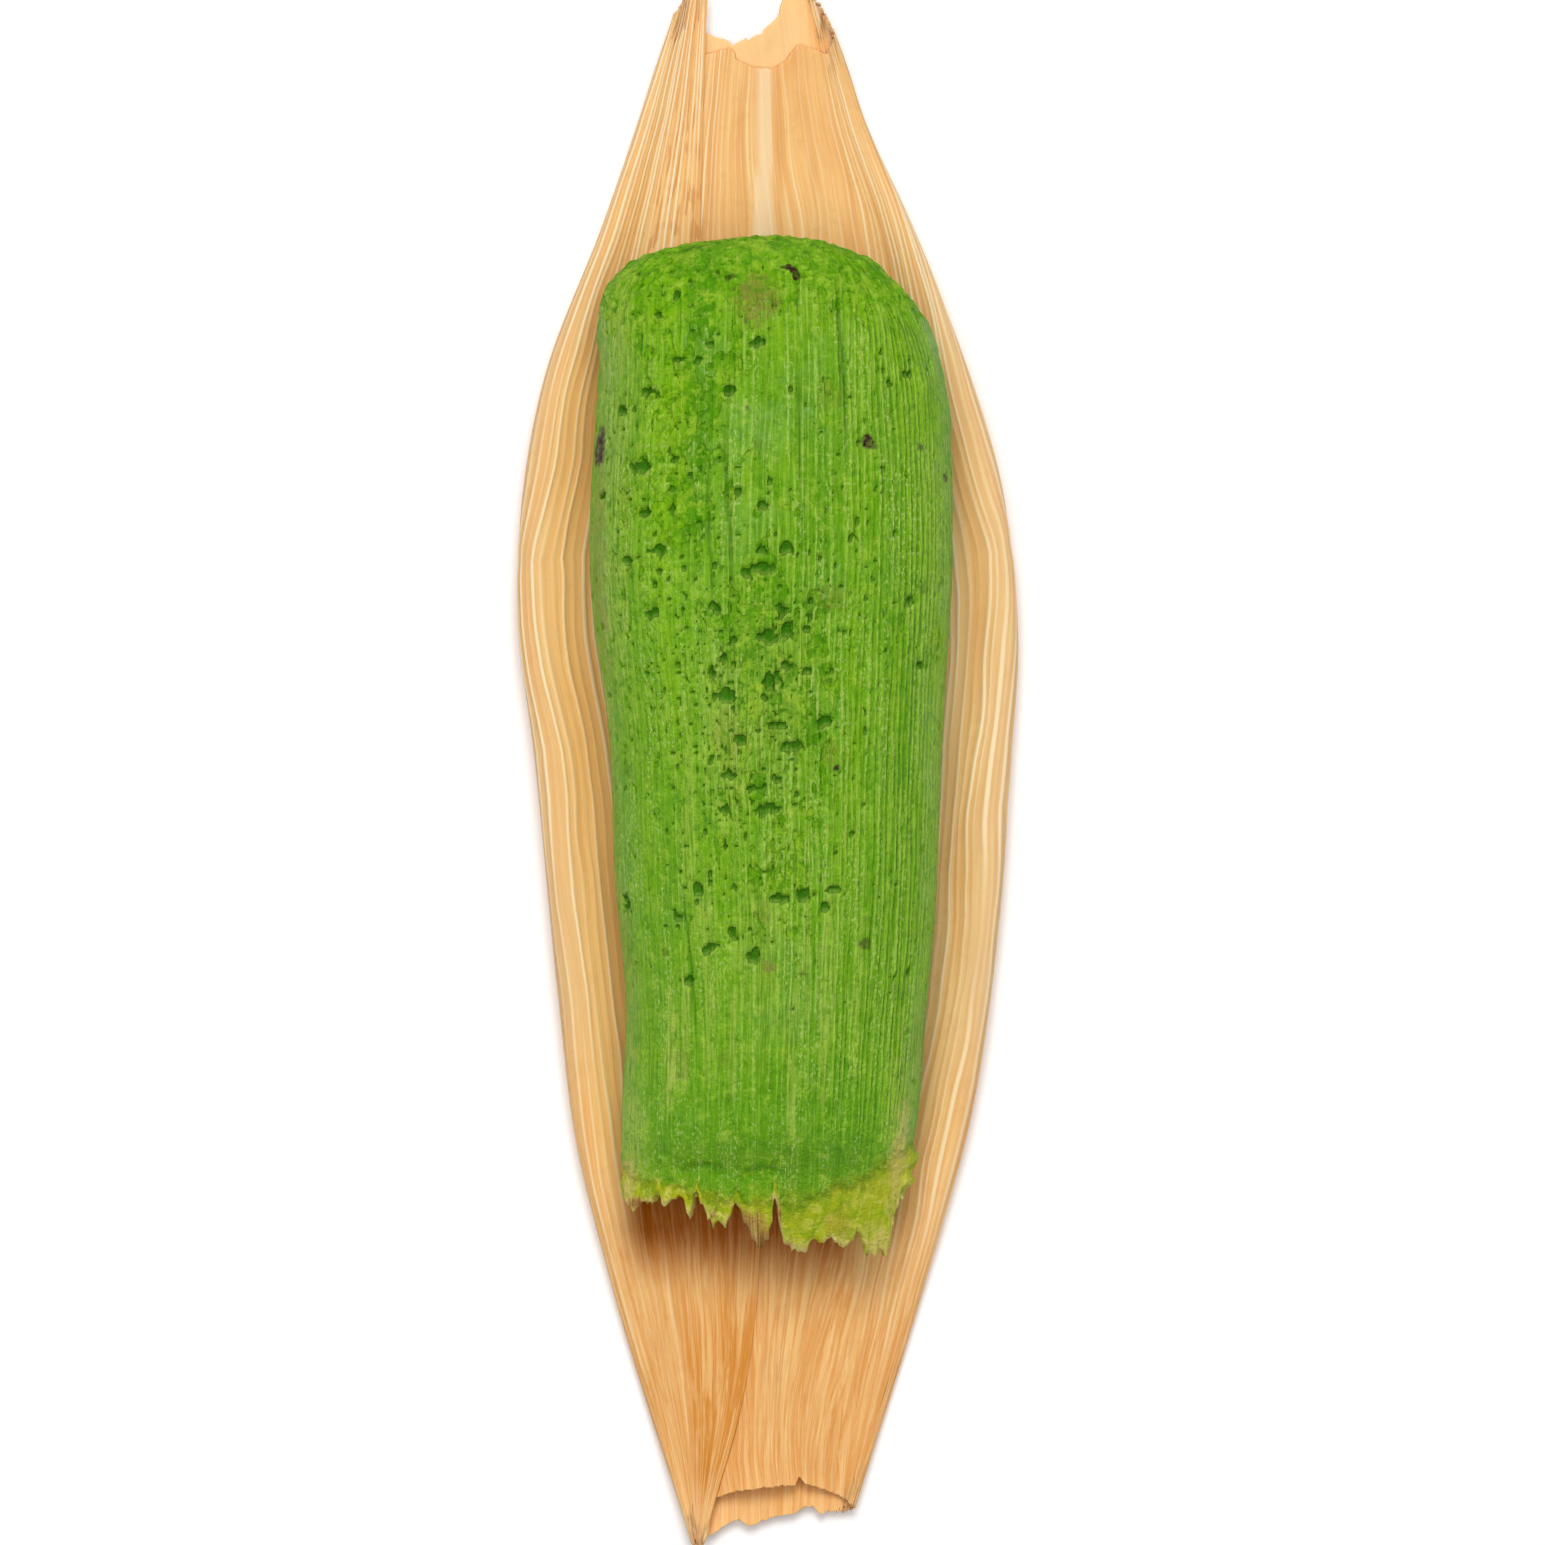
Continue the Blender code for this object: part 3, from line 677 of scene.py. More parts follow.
dough = {
    "base": 2.3,
    "middle": 13.5,  # height of its widest line
    "head": 64.1,
    "topPower": 2.25,  # 2 is an ellipse, more is squarer
    "basePower": 2.7,
    "left": (
        (-56, -17.6), (-43, -17.6), (-30, -17.2), (-14, -18.5), (3, -19.3),
        (25, -21.7), (36, -21.2), (46, -20.4), (66, -20.8),
    ),
    "right": (
        (-56, 15.8), (-43, 18.0), (-30, 19.2), (-14, 20.5), (3, 21.1),
        (25, 22.5), (36, 22.3), (46, 21.6), (66, 21.2),
    ),
    "crown": ((-56, 23.4), (-40, 24.8), (-20, 26.4), (8, 27.5), (35, 27.3), (66, 25.4)),
    # Rounding of the head: (length that is rounded, power)
    "roundLeft": (10.0, 2.25),
    "roundRight": (23, 2.4),
    "roundTop": (16, 2.6),
    "roundBase": (14, 2.6),
    # Torn foot, as (x, y): shreds and notches of the upper skin
    "tornBack": -52.6,  # where the torn face lies below the skin
    "tear": (
        (-17.8, -52.5), (-17.3, -53.6), (-16.5, -54.7), (-14.9, -54.1), (-13.7, -53.6),
        (-13.3, -52.7), (-12.8, -53.5), (-10.9, -53.3), (-10.1, -53.6), (-9.6, -55.3),
        (-9.1, -54.6), (-8.7, -52.6), (-8.2, -53.9), (-7.6, -55.1), (-7.1, -56.2), (-6.5, -57.0),
        (-5.8, -56.0), (-4.9, -55.9), (-4.3, -55.0), (-4.0, -53.8), (-3.5, -54.0), (-3.0, -55.6),
        (-2.2, -57.0), (-1.4, -58.5), (-0.7, -59.6), (-0.3, -58.4), (0.2, -57.3), (0.5, -55.8),
        (0.6, -52.6), (1.1, -52.8), (1.3, -54.5), (1.5, -56.0), (1.9, -57.4), (2.2, -58.6),
        (3.1, -58.8), (4.4, -59.2), (6.1, -59.0), (6.9, -58.1), (7.7, -57.4), (8.3, -58.2),
        (9.1, -58.7), (10.4, -58.6), (10.9, -57.3), (11.4, -59.2), (11.9, -61.4), (12.8, -61.2),
        (14.2, -61.7), (14.9, -60.3), (15.3, -57.0), (15.6, -54.9), (16.0, -52.7),
    ),
    # Scraps that stick out of the right flank: (y, half length, how far)
    "lobes": ((-48.0, 2.6, 0.9), (-50.4, 1.1, 0.9)),
    # Where the skin starts to thin out towards the tear, as (x, y)
    "tornFrom": (
        (-18, -46.5), (-15, -48.4), (-11, -49.8), (-4, -50.6), (2, -51.4), (5, -50.2),
        (9, -49.6), (12, -48.4), (17, -44.5),
    ),
    # Rings from the last full section to the middle of the torn face: (arc length, shift along
    # from tornBack, share of the tear that is followed, width, height above and depth below
    # the middle, as shares of the full section)
    "footRings": (
        (0, 12.8, 0.00, 1.00, 1.00, 1.00),
        (5.3, 7.6, 0.03, 1.00, 0.94, 1.00),
        (9.8, 3.7, 0.13, 1.00, 0.66, 0.96),
        (14.4, 0.3, 1.00, 0.99, 0.10, 0.80),
        (15.4, 0.6, 0.95, 0.97, 0.02, 0.72),
        (17.8, 3.2, 0.45, 0.88, 0.02, 0.58),
        (20.6, 4.9, 0.15, 0.70, 0.02, 0.40),
        (24.0, 5.1, 0.05, 0.36, 0.02, 0.18),
        (27.2, 5.1, 0.00, 0.02, 0.01, 0.01),
    ),
    # Hollows of the masa, as (x, y, half width, half length)
    "pits": (
        (-15.6, 36, 1.1, 0.9), (-11.4, 36.8, 0.5, 0.4), (-3.7, 33, 0.4, 0.5), (-0.6, 31.2, 0.5, 0.5),
        (0.1, 34.1, 0.35, 0.9), (-14.9, 30.3, 0.5, 0.5), (-11.4, 30.9, 0.5, 0.4),
        (-13, 25.7, 0.7, 0.6), (-17, 24.6, 0.5, 0.5), (-0.9, 23.7, 1.5, 0.55), (-2.7, 23.2, 0.6, 0.6),
        (-0.7, 25.8, 0.5, 0.4), (2.1, 26, 0.7, 0.6), (-6.3, 18.8, 0.7, 0.7), (-13.9, 18.1, 0.7, 0.55),
        (1.6, 18.6, 0.8, 0.5), (-20.1, 32.5, 0.35, 0.35), (2.4, 16.3, 0.55, 1.1),
        (4.7, 16.5, 0.5, 0.6), (-0.3, 15.3, 1.1, 0.6), (-4, 15, 0.45, 0.35), (-5.5, 12.8, 0.4, 0.4),
        (-6.8, 10.9, 0.55, 0.5), (2, 11.9, 0.6, 0.4), (0.5, 10.1, 1.4, 0.8), (4.6, 11.2, 0.45, 0.45),
        (-6.7, 8.2, 0.5, 0.6), (-4.8, 8.1, 0.8, 0.9), (-0.4, 7.9, 0.6, 0.5), (1.1, 4.7, 1.4, 0.4),
        (6.7, 5.2, 1, 0.6), (-3.4, 3.2, 0.5, 0.6), (2.8, 2, 1.1, 0.55), (-6.9, 0.4, 0.5, 0.55),
        (-4.8, -1.3, 0.7, 0.6), (1.1, -1.7, 0.4, 0.4), (-0.2, -5.4, 1, 0.6), (-5.3, -5.4, 0.5, 0.5),
        (-1.9, -2.8, 0.4, 0.4), (3.5, -3.4, 0.3, 0.4), (-8.6, -15.1, 0.55, 0.9),
        (1.6, -16.3, 0.9, 0.6), (-4.2, -20.3, 0.6, 0.55), (-7.3, -22.2, 0.55, 0.5),
        (-1.8, -23, 0.6, 0.9), (-9.7, -26, 0.6, 0.5), (-17.2, -16.7, 0.5, 1), (-11, -18.4, 0.4, 0.4),
        (4.4, -15.7, 0.9, 0.75), (8, -15, 0.9, 0.45), (7, -17.3, 0.35, 0.6), (17.1, -25.1, 0.3, 0.6),
        (-11, 56.7, 0.4, 0.4), (-13.3, 54.4, 0.5, 0.35), (-6.9, 50.8, 0.5, 0.4), (-1.4, 51, 0.7, 0.4),
        (-8.3, 48.8, 0.5, 0.45), (-10.5, 48.9, 0.8, 0.35), (-14.5, 45, 0.7, 0.45),
        (-17.8, 42.8, 0.7, 0.4), (-4.6, 45, 0.8, 0.45), (16.9, 47.2, 0.6, 0.45), (15, 46, 0.4, 0.4),
        (-4.9, 59, 0.35, 0.3), (17.3, 19.8, 0.5, 0.5), (18.6, 12, 0.4, 0.5),
    ),
    # Shallow scars above the tear, also painted darker green as shade: (x of the middle, y of the head
    # end, half width, length)
    "ledges": (
        (-7.6, -48, 3.6, 2.6), (-0.6, -48.3, 3.4, 2.6), (-13.2, -49.6, 2.6, 1.8), (3.4, -51, 2.2, 1.6),
        (9, -50.6, 1.6, 1.2),
    ),
    # Deep lengthwise creases, their bottoms painted darker as shade: ((x, y) at the head end, (x, y) at
    # the foot end, half width)
    "seams": (
        ((8.4, 59.5), (9.5, 38), 0.42), ((-5.6, 44), (-3.8, 16), 0.35), ((-7.6, 40), (-6.6, 18), 0.3),
        ((-10.4, -14), (-8.6, -33), 0.3), ((3.4, 50), (4.4, 24), 0.25),
    ),
    # Broad stretches of colour: (x, y, half width, half length, strength), of fresh
    # yellow-green, of skin bleached by the husk and of deep green. The fresh and bleached entries on
    # the flanks and round the head are painted light, lightening slopes that fall into shade
    "fresh": (
        (-12.4, 42, 2.6, 24, 0.8), (-11, 12, 2, 14, 0.4), (-15, -2, 1.6, 16, 0.4),
        (11.5, 20, 2.2, 26, 0.35), (2, 56, 9, 6, 0.5), (-4, -10, 2.4, 14, 0.35),
        (14.6, -44, 1.2, 10, 1), (-17.2, -46, 1.2, 9, 0.8), (19, 34, 2.6, 24, 0.6),
        (13, 55, 8, 9, 0.6), (19.5, -4, 2.2, 34, 0.7), (-16, 57, 5, 6, 0.6),
    ),
    # skin bleached by the husk; the entries on the flank rims are painted light on their shade
    "bleached": (
        (-19.6, 6, 2, 18, 0.9), (-19.4, 30, 1.8, 22, 0.6), (-18.8, 52, 1.8, 8, 0.6),
        (-16.8, -28, 1.4, 20, 0.5), (20.4, 8, 1.6, 36, 0.2), (16.4, -42, 1.6, 9, 0.6),
        (-16.6, -46, 1.6, 8, 0.7), (-7.2, -27, 0.8, 12, 0.5), (-9.4, -8, 0.7, 16, 0.4),
        (3, -36, 0.8, 12, 0.5), (7, -28, 1, 14, 0.5), (-5, 4, 3, 11, 0.45), (0.5, 9, 5, 10, 0.4),
        (-1.6, -22, 3, 8, 0.35), (-11.6, -34.6, 0.8, 6.5, 1), (-9.9, -31, 0.5, 7, 0.7),
        (-4.2, -34, 0.45, 7, 0.6), (4.6, -22, 0.5, 12, 0.5), (11, -26, 0.5, 12, 0.5),
    ),
    "lush": (
        (-8.4, 46, 1.8, 18, 0.8), (7, 36, 2.4, 20, 0.5), (0.5, 6, 6, 10, 0.3), (14.5, 30, 2, 18, 0.5),
        (6, -44, 9, 8, 0.8), (-7, -45, 7, 7, 0.6), (17.5, 2, 1.8, 26, 0.4), (-5.5, 16, 1.4, 14, 0.4),
    ),
    # Dark brown blemishes, as (x, y, half width, half length, strength)
    "stains": (
        (1.8, 60.1, 0.4, 0.3, 0.8), (2.4, 60.1, 0.5, 0.4, 1), (3, 59.7, 0.5, 0.45, 1),
        (3.4, 59.1, 0.4, 0.5, 1), (-20.4, 38.4, 0.9, 2.4, 0.95), (12, 39.1, 0.7, 0.8, 1),
        (12.4, 38.4, 0.9, 0.5, 0.6), (11.8, -21.4, 0.7, 0.8, 0.6), (4.3, -25.2, 0.6, 0.5, 0.5),
        (8.2, -0.4, 0.4, 0.4, 0.8), (18.5, 38.4, 0.6, 0.5, 0.6), (21.6, 34.8, 0.5, 0.6, 0.7),
        (18.8, 21.4, 0.8, 0.9, 0.4), (7.3, 10.1, 0.5, 0.4, 0.45), (-12.4, -22.6, 0.4, 0.4, 0.5),
        (-2.5, 43, 0.4, 0.4, 0.6), (-1.4, 38.7, 0.4, 0.7, 0.4), (-10.2, -36, 1, 2.8, 0.35),
        (-4.4, 59, 0.6, 0.3, 0.6), (-12.5, 62.7, 3.6, 0.5, 0.5), (0.9, 12.6, 0.4, 0.4, 0.3),
    ),
    # Brown, frayed bits of skin: (x, y, half width, half length, strength)
    "frayed": (
        (-16, -53, 0.95, 0.6, 1), (-2, -55.4, 1.5, 1.3, 0.75), (-1.2, -57.3, 1.4, 1.4, 0.95),
        (-0.6, -58.9, 0.7, 1, 0.9), (-0.2, -56.6, 0.8, 0.8, 0.8), (-3.2, -54.9, 0.5, 0.6, 0.6),
        (1.3, -54.6, 0.3, 1.6, 0.8), (-6.6, -54.6, 0.22, 0.22, 1), (2.6, -58.2, 0.5, 0.4, 0.6),
        (12.9, -60.8, 1.2, 0.8, 0.4), (8.6, -55.6, 1.6, 1.6, 0.25), (-9, -54.8, 0.5, 0.4, 0.4),
    ),
    # Dried, yellowish skin along the tear: (x, y, half width, half length, strength)
    "dried": (
        (13.6, -59.6, 2.4, 3.4, 0.85), (15, -53.6, 1, 4.4, 0.6), (-17, -51, 1, 3.4, 0.8),
        (-15, -53.6, 2.6, 1, 0.8), (-8.4, -55.4, 2.4, 2, 0.6), (-2, -56.6, 1.6, 2.4, 0.6),
        (15.9, -47, 0.9, 6, 0.7), (4, -58.8, 2.2, 0.8, 0.5), (8.8, -57.8, 1.6, 1, 0.4),
    ),
    # Brownish blushes on the skin, listed in the same way
    "blushes": (
        (-1.3, 56.2, 2.6, 3.1, 0.8), (0.2, -24.3, 0.8, 0.7, 0.9), (7.6, 20.1, 1.8, 1.5, 0.4),
        (7.6, 44.5, 1.5, 1.5, 0.3), (-0.5, -17.5, 1, 1.4, 0.4), (7.5, 1.5, 1.2, 1.6, 0.35),
        (-5, 3, 1.6, 4, 0.35), (-19.6, 3, 0.7, 9, 0.6), (-20.6, 24, 0.8, 12, 0.6),
        (18.5, -33, 1.2, 4, 0.3), (-5.2, -35.5, 0.9, 0.9, 0.3),
    ),
    # Where the smooth skin is gone from the crumb and where the crumb is pitted: (x, y, half
    # width, half length, share)
    "worn": ((-10, 38, 13, 32, 0.6), (1, 12, 12, 28, 0.62), (2, -14, 9, 16, 0.4)),
    "hollowed": ((-10, 24, 14, 42, 0.6), (1, 4, 13, 36, 0.9), (15, 25, 10, 45, 0.35)),
    # Sizes of the scattered hollows: (cell, least and greatest radius, depth)
    "middling": (1.9, (0.2, 0.42), 0.75),
    "small": (1.05, (0.14, 0.3), 0.55),
    # Seeds of the ragged outlines of the listed spots
    "spotSeeds": {"fresh": 76, "bleached": 78, "stains": 73, "blushes": 74, "frayed": 79, "dried": 80},
    "groovePitch": 0.88,  # between the lengthwise grooves that the husk has pressed in
    "grooveBends": (0.5, 0.22, 0.1),  # how far they wander sideways: slowly, quickly and finely
    # Heights and depths of the fine relief
    "grooveDepth": 0.07,
    "ribbonHeight": 0.08,  # of broad ribbons, a few grooves wide
    "skinHeight": 0.16,
    "swellHeight": 0.3,
    "clodHeight": 0.75,
    "pitDepth": 0.55,
    "ledgeDepth": 0.3,
    "seamDepth": 0.3,
    "crumbHeight": (0.06, 0.29, 0.26),  # under skin, added where the skin is gone, torn
    "faceHeight": 0.8,  # of the lumps on the torn face
    # A short piece of the lip breaks off this much higher than a shred of this length, along
    # this arc of the foot rings: from, eased in over, to, eased out over
    "lipLift": 0.44,
    "longShred": 9,
    "lipAlong": (9, 5, 17.2, 2.4),
    "bodyRows": 334,
    "footRows": 80,
    "topColumns": 202,
    "baseColumns": 34,
}


def rounding(y, lengthAndPower):  # share of the full section left at y, nothing at the head
    length, power = lengthAndPower
    t = np.clip((y - (dough["head"] - length)) / length, 0, 1)
    return (1 - t**power) ** (1 / power)


def doughSection(angle, y, width=1.0, height=1.0, depth=1.0):
    # A rounded oval: across goes as the cosine to the power 2/p, up or down as the sine to
    # the power 2/p, with p larger below so that the underside is flatter.
    over = np.sin(angle) >= 0
    power = np.where(over, dough["topPower"], dough["basePower"])
    across = np.sign(np.cos(angle)) * np.abs(np.cos(angle)) ** (2 / power)
    up = np.abs(np.sin(angle)) ** (2 / power)
    reach = np.where(across > 0, curveThrough(dough["right"], y) * rounding(y, dough["roundRight"]),
                     -curveThrough(dough["left"], y) * rounding(y, dough["roundLeft"]))
    middle = dough["middle"]
    crown = (curveThrough(dough["crown"], y) - middle) * height * rounding(y, dough["roundTop"])
    base = (dough["base"] - middle) * depth * rounding(y, dough["roundBase"])
    return across * reach * width, middle + up * np.where(over, crown, base)


def sectionArc():
    # Fine angles once round the section from the middle of its underside, over the right side,
    # and the distance round to each, on the widest section.
    fine = np.linspace(-0.5 * np.pi, 1.5 * np.pi, 12001)
    x, z = doughSection(fine, 20.0)
    return fine, np.concatenate([[0], np.cumsum(np.hypot(np.diff(x), np.diff(z)))])


def doughAngles():
    # Angles round the dough from the middle of its underside, at even steps of arc on the
    # widest section, finer over the top.
    fine, arc = sectionArc()
    below = dough["baseColumns"] // 2
    stops = ((-0.5 * np.pi, 0, below), (0, np.pi, dough["topColumns"]), (np.pi, 1.5 * np.pi, below))
    angles = []
    for start, end, count in stops:
        startArc, endArc = np.interp((start, end), fine, arc)
        angles.append(np.interp(np.linspace(startArc, endArc, count + 1)[:-1], arc, fine))
    return np.concatenate(angles)


def doughRows():
    # Rows from the head to the last full section, at even steps of arc along the surface.
    lastFull = dough["tornBack"] + dough["footRings"][0][1]
    y = dough["head"] - np.linspace(0, 1, 6001) ** 3 * (dough["head"] - lastFull)
    turn = np.array([0.0, 0.5 * np.pi, np.pi])[:, None]
    x, z = doughSection(turn, y[None, :])
    climb = np.abs(np.diff(z[1])) + 0.5 * np.abs(np.diff(x[0])) + 0.5 * np.abs(np.diff(x[2]))
    arc = np.concatenate([[0], np.cumsum(np.hypot(np.diff(y), climb))])
    return np.interp(np.linspace(0, arc[-1], dough["bodyRows"] + 1), arc, y)[1:]


def wornShare(x, y):
    # How much of the smooth skin is gone from the crumb, 0 to 1: most at the head, on the
    # upper left and in a patch down the middle.
    head = 0.85 * ease((y - 50) / 9)
    return np.clip(0.16 + head + rises(x, y, dough["worn"]) + 0.2 * ripples(x / 5, y / 7, 31), 0, 1)


def hollowShare(x, y):  # how much of the crumb is pitted
    return np.clip(0.05 + rises(x, y, dough["hollowed"]), 0, 0.9) * ease((y + 42) / 12)


def fromCrown(x, y):
    # Distance round the full section from its crown to the upper skin above x, to the right.
    reach = np.where(x > 0, curveThrough(dough["right"], y), -curveThrough(dough["left"], y))
    share = np.clip(np.abs(x) / reach, 0, 1)
    turned = np.arccos(np.sign(x) * share ** (dough["topPower"] / 2))
    fine, arc = sectionArc()
    return np.interp(np.pi / 2, fine, arc) - np.interp(turned, fine, arc)


def spots(q, y, places, seed, rough=0.5):
    # Ragged round spots, each as strong as listed in its middle and gone a little outside its
    # own half width and half length. They are listed as seen from above and laid round the
    # section, so that those near the sides don't run far down them.
    found = np.zeros_like(q)
    ragged = rough * ripples(q / 0.62, y / 0.62, seed, 2)
    for middleX, middleY, across, along, strength in places:
        left, middle, right = fromCrown(middleX + across * np.array((-1, 0, 1)), middleY)
        half = min((right - left) / 2, 2.2 * across)
        away = np.hypot((q - middle) / half, (y - middleY) / along) + ragged
        found = np.maximum(found, strength * ease(1.8 * (1.28 - away)))
    return found


def seamShare(x, y):  # 1 along the bottom of each deep crease, 0 away from it
    found = np.zeros_like(x)
    for (headX, headY), (footX, footY), width in dough["seams"]:
        along = (headY - y) / (headY - footY)
        lineX = headX + (footX - headX) * along + 0.25 * ripples(x * 0, y / 6, 75)
        found = np.maximum(found, hill((x - lineX) / width) * hill(2 * along - 1) ** 0.3)
    return found


def wallShare(pit, y, side):
    # 1 on the steep walls of the hollows that face the foot (-1) or the head (1)
    steepness = np.gradient(pit, axis=0) / np.minimum(np.gradient(y, axis=0), -0.02)
    return np.clip(side * steepness / 1.6, 0, 1)


def ledgeShare(x, y):
    # Where the upper skin has broken off short of the tear: each scar is an arch, deepest at
    # its head side and running out towards the foot.
    found = np.zeros_like(x)
    wavering = 0.3 * ripples(x / 1.4, y / 3, 72)
    for middle, headY, half, length in dough["ledges"]:
        top = headY - 0.5 * length * ((x - middle) / half) ** 2 + wavering
        sides = ease(3 * (1 - np.abs(x - middle) / half))
        found = np.maximum(found, between(y, top - length, length, top, 0.35) * sides)
    return found


def doughRelief(q, x, y, z, over, straight, headFace):
    # Height of the fine relief, the masks that the finish reads and the count of grooves from
    # the crown. q is the distance round the section from the crown, so grooves run lengthwise,
    # over is 1 on the upper side, straight is 0 where the head narrows too much for grooves
    # and headFace is 1 on the blunt end of the head.
    slow, quick, fine = dough["grooveBends"]
    bend = slow * ripples(q / 14, y / 24, 21) + quick * ripple(q / 1.9, y / 45, 20)
    bend = bend + fine * ripple(q / 0.8, y / 24, 19)
    groove = (q + bend) / dough["groovePitch"]
    worn = wornShare(x, y)
    tearY = lineThrough(dough["tear"], np.clip(x, dough["tear"][0][0], dough["tear"][-1][0]))
    fromTear = y - np.where(over > 0, tearY, dough["tornBack"])
    uneven = 1.5 * ripples(q / 2.0, y / 2.6, 22)
    tornFrom = lineThrough(dough["tornFrom"], x)
    thinning = ease((tornFrom - y + uneven) / 6.5 + 0.2)
    torn = np.maximum(thinning, ease(1.4 - (fromTear + 0.4 * uneven) / 2.8))
    rim = ease(1.5 - fromTear / 0.7)
    bare, whole = 1 - torn, 1 - headFace
    patches = ripples(groove / 1.6, y / 3.4, 33, 3) + 0.35 * ripple(q / 0.5, y / 0.8, 36)
    skin = ease((0.62 + 0.55 * patches - worn) / 0.22 + 0.5) * bare * whole
    pressed = (0.35 + 0.65 * ease((q + 12) / 14)) * ease((64 - y) / 9) * bare * straight
    pressed = pressed * (0.25 + 0.75 * ease((y + 49) / 14)) * (1 - 0.45 * ease((np.abs(q) - 19) / 6))
    lines = np.cos(2 * np.pi * groove) * (0.6 + 0.4 * ripple(groove, y / 13, 24))
    ribbons = ripple(groove / 2.7, y / 40, 25)
    pit = spots(q, y, [(*place, 1) for place in dough["pits"]], 41, 0.95)
    for scattered, shift, seed in (("middling", 7.3, 51), ("small", 3.1, 61)):
        size, radii, depth = dough[scattered]
        pit = np.maximum(pit, depth * hollows(q + shift, y, size, seed, hollowShare, radii))
    pit = pit * bare * whole
    crumb = ripples(q / 0.75, y / 0.75, 28, 2) * whole + ripples(x / 0.75, z / 0.75, 28, 2) * headFace
    swell = ripples(q / 16, y / 22, 29) * whole
    clods = ripples(q / 2.7, y / 2.7, 71, 4) * whole + ripples(x / 2.7, z / 2.7, 71, 4) * headFace
    clods = clods * (0.75 + 0.6 * ripple((q + z) / 5, y / 5, 70))
    rimOfHead = 0.85 * ease((np.abs(q) - 17) / 6) * ease((y - 34) / 16)
    crumbling = np.maximum(ease((y - 59) / 4), rimOfHead)
    ledge = ledgeShare(x, y) * over
    seam = seamShare(x, y) * over * whole
    underSkin, withoutSkin, onTorn = dough["crumbHeight"]
    height = (dough["grooveDepth"] * lines + dough["ribbonHeight"] * ribbons) * pressed
    height = height + dough["skinHeight"] * (skin - 1) + dough["swellHeight"] * swell
    height = height + crumbling * (dough["clodHeight"] * clods + 0.1)
    height = height + crumb * (underSkin + withoutSkin * (1 - skin) * bare + onTorn * torn)
    height = height - dough["pitDepth"] * pit - dough["ledgeDepth"] * ledge - dough["seamDepth"] * seam
    marks = {
        "pit": pit, "pressed": pressed, "skin": skin, "torn": torn, "headFace": headFace,
        # crumb is the crumb relief's height, which the finish paints as highlight on the raised bits
        "crumb": 0.5 + 0.5 * crumb, "rim": rim * over, "seam": seam,
        # painted shade: the ledge scars are coloured dark green along with the lush spots
        "lush": np.maximum(spots(q, y, dough["lush"], 77), 1.5 * ledge),
        "limp": ease((x - 1.5) / 3) * ease((fromTear - 1) / 3),
        "shaded": wallShare(pit, y, -1), "lit": wallShare(pit, y, 1),
    }
    for name, seed in dough["spotSeeds"].items():
        marks[name] = spots(q, y, dough[name], seed)
    return height, marks, groove


def roundFromCrown(x, y, angle):
    # Distance round the section from its crown, to the right. Over the top it is the full
    # section's distance at the same x, so that what follows it runs straight on over the
    # rounded head; on the flanks and below it is the distance at the same angle.
    fine, arc = sectionArc()
    atAngle = np.interp(np.pi / 2, fine, arc) - np.interp(angle, fine, arc)
    flank = np.where(np.sin(angle) >= 0, ease((np.abs(np.cos(angle)) - 0.5) / 0.4), 1)
    return fromCrown(x, y) * (1 - flank) + atAngle * flank


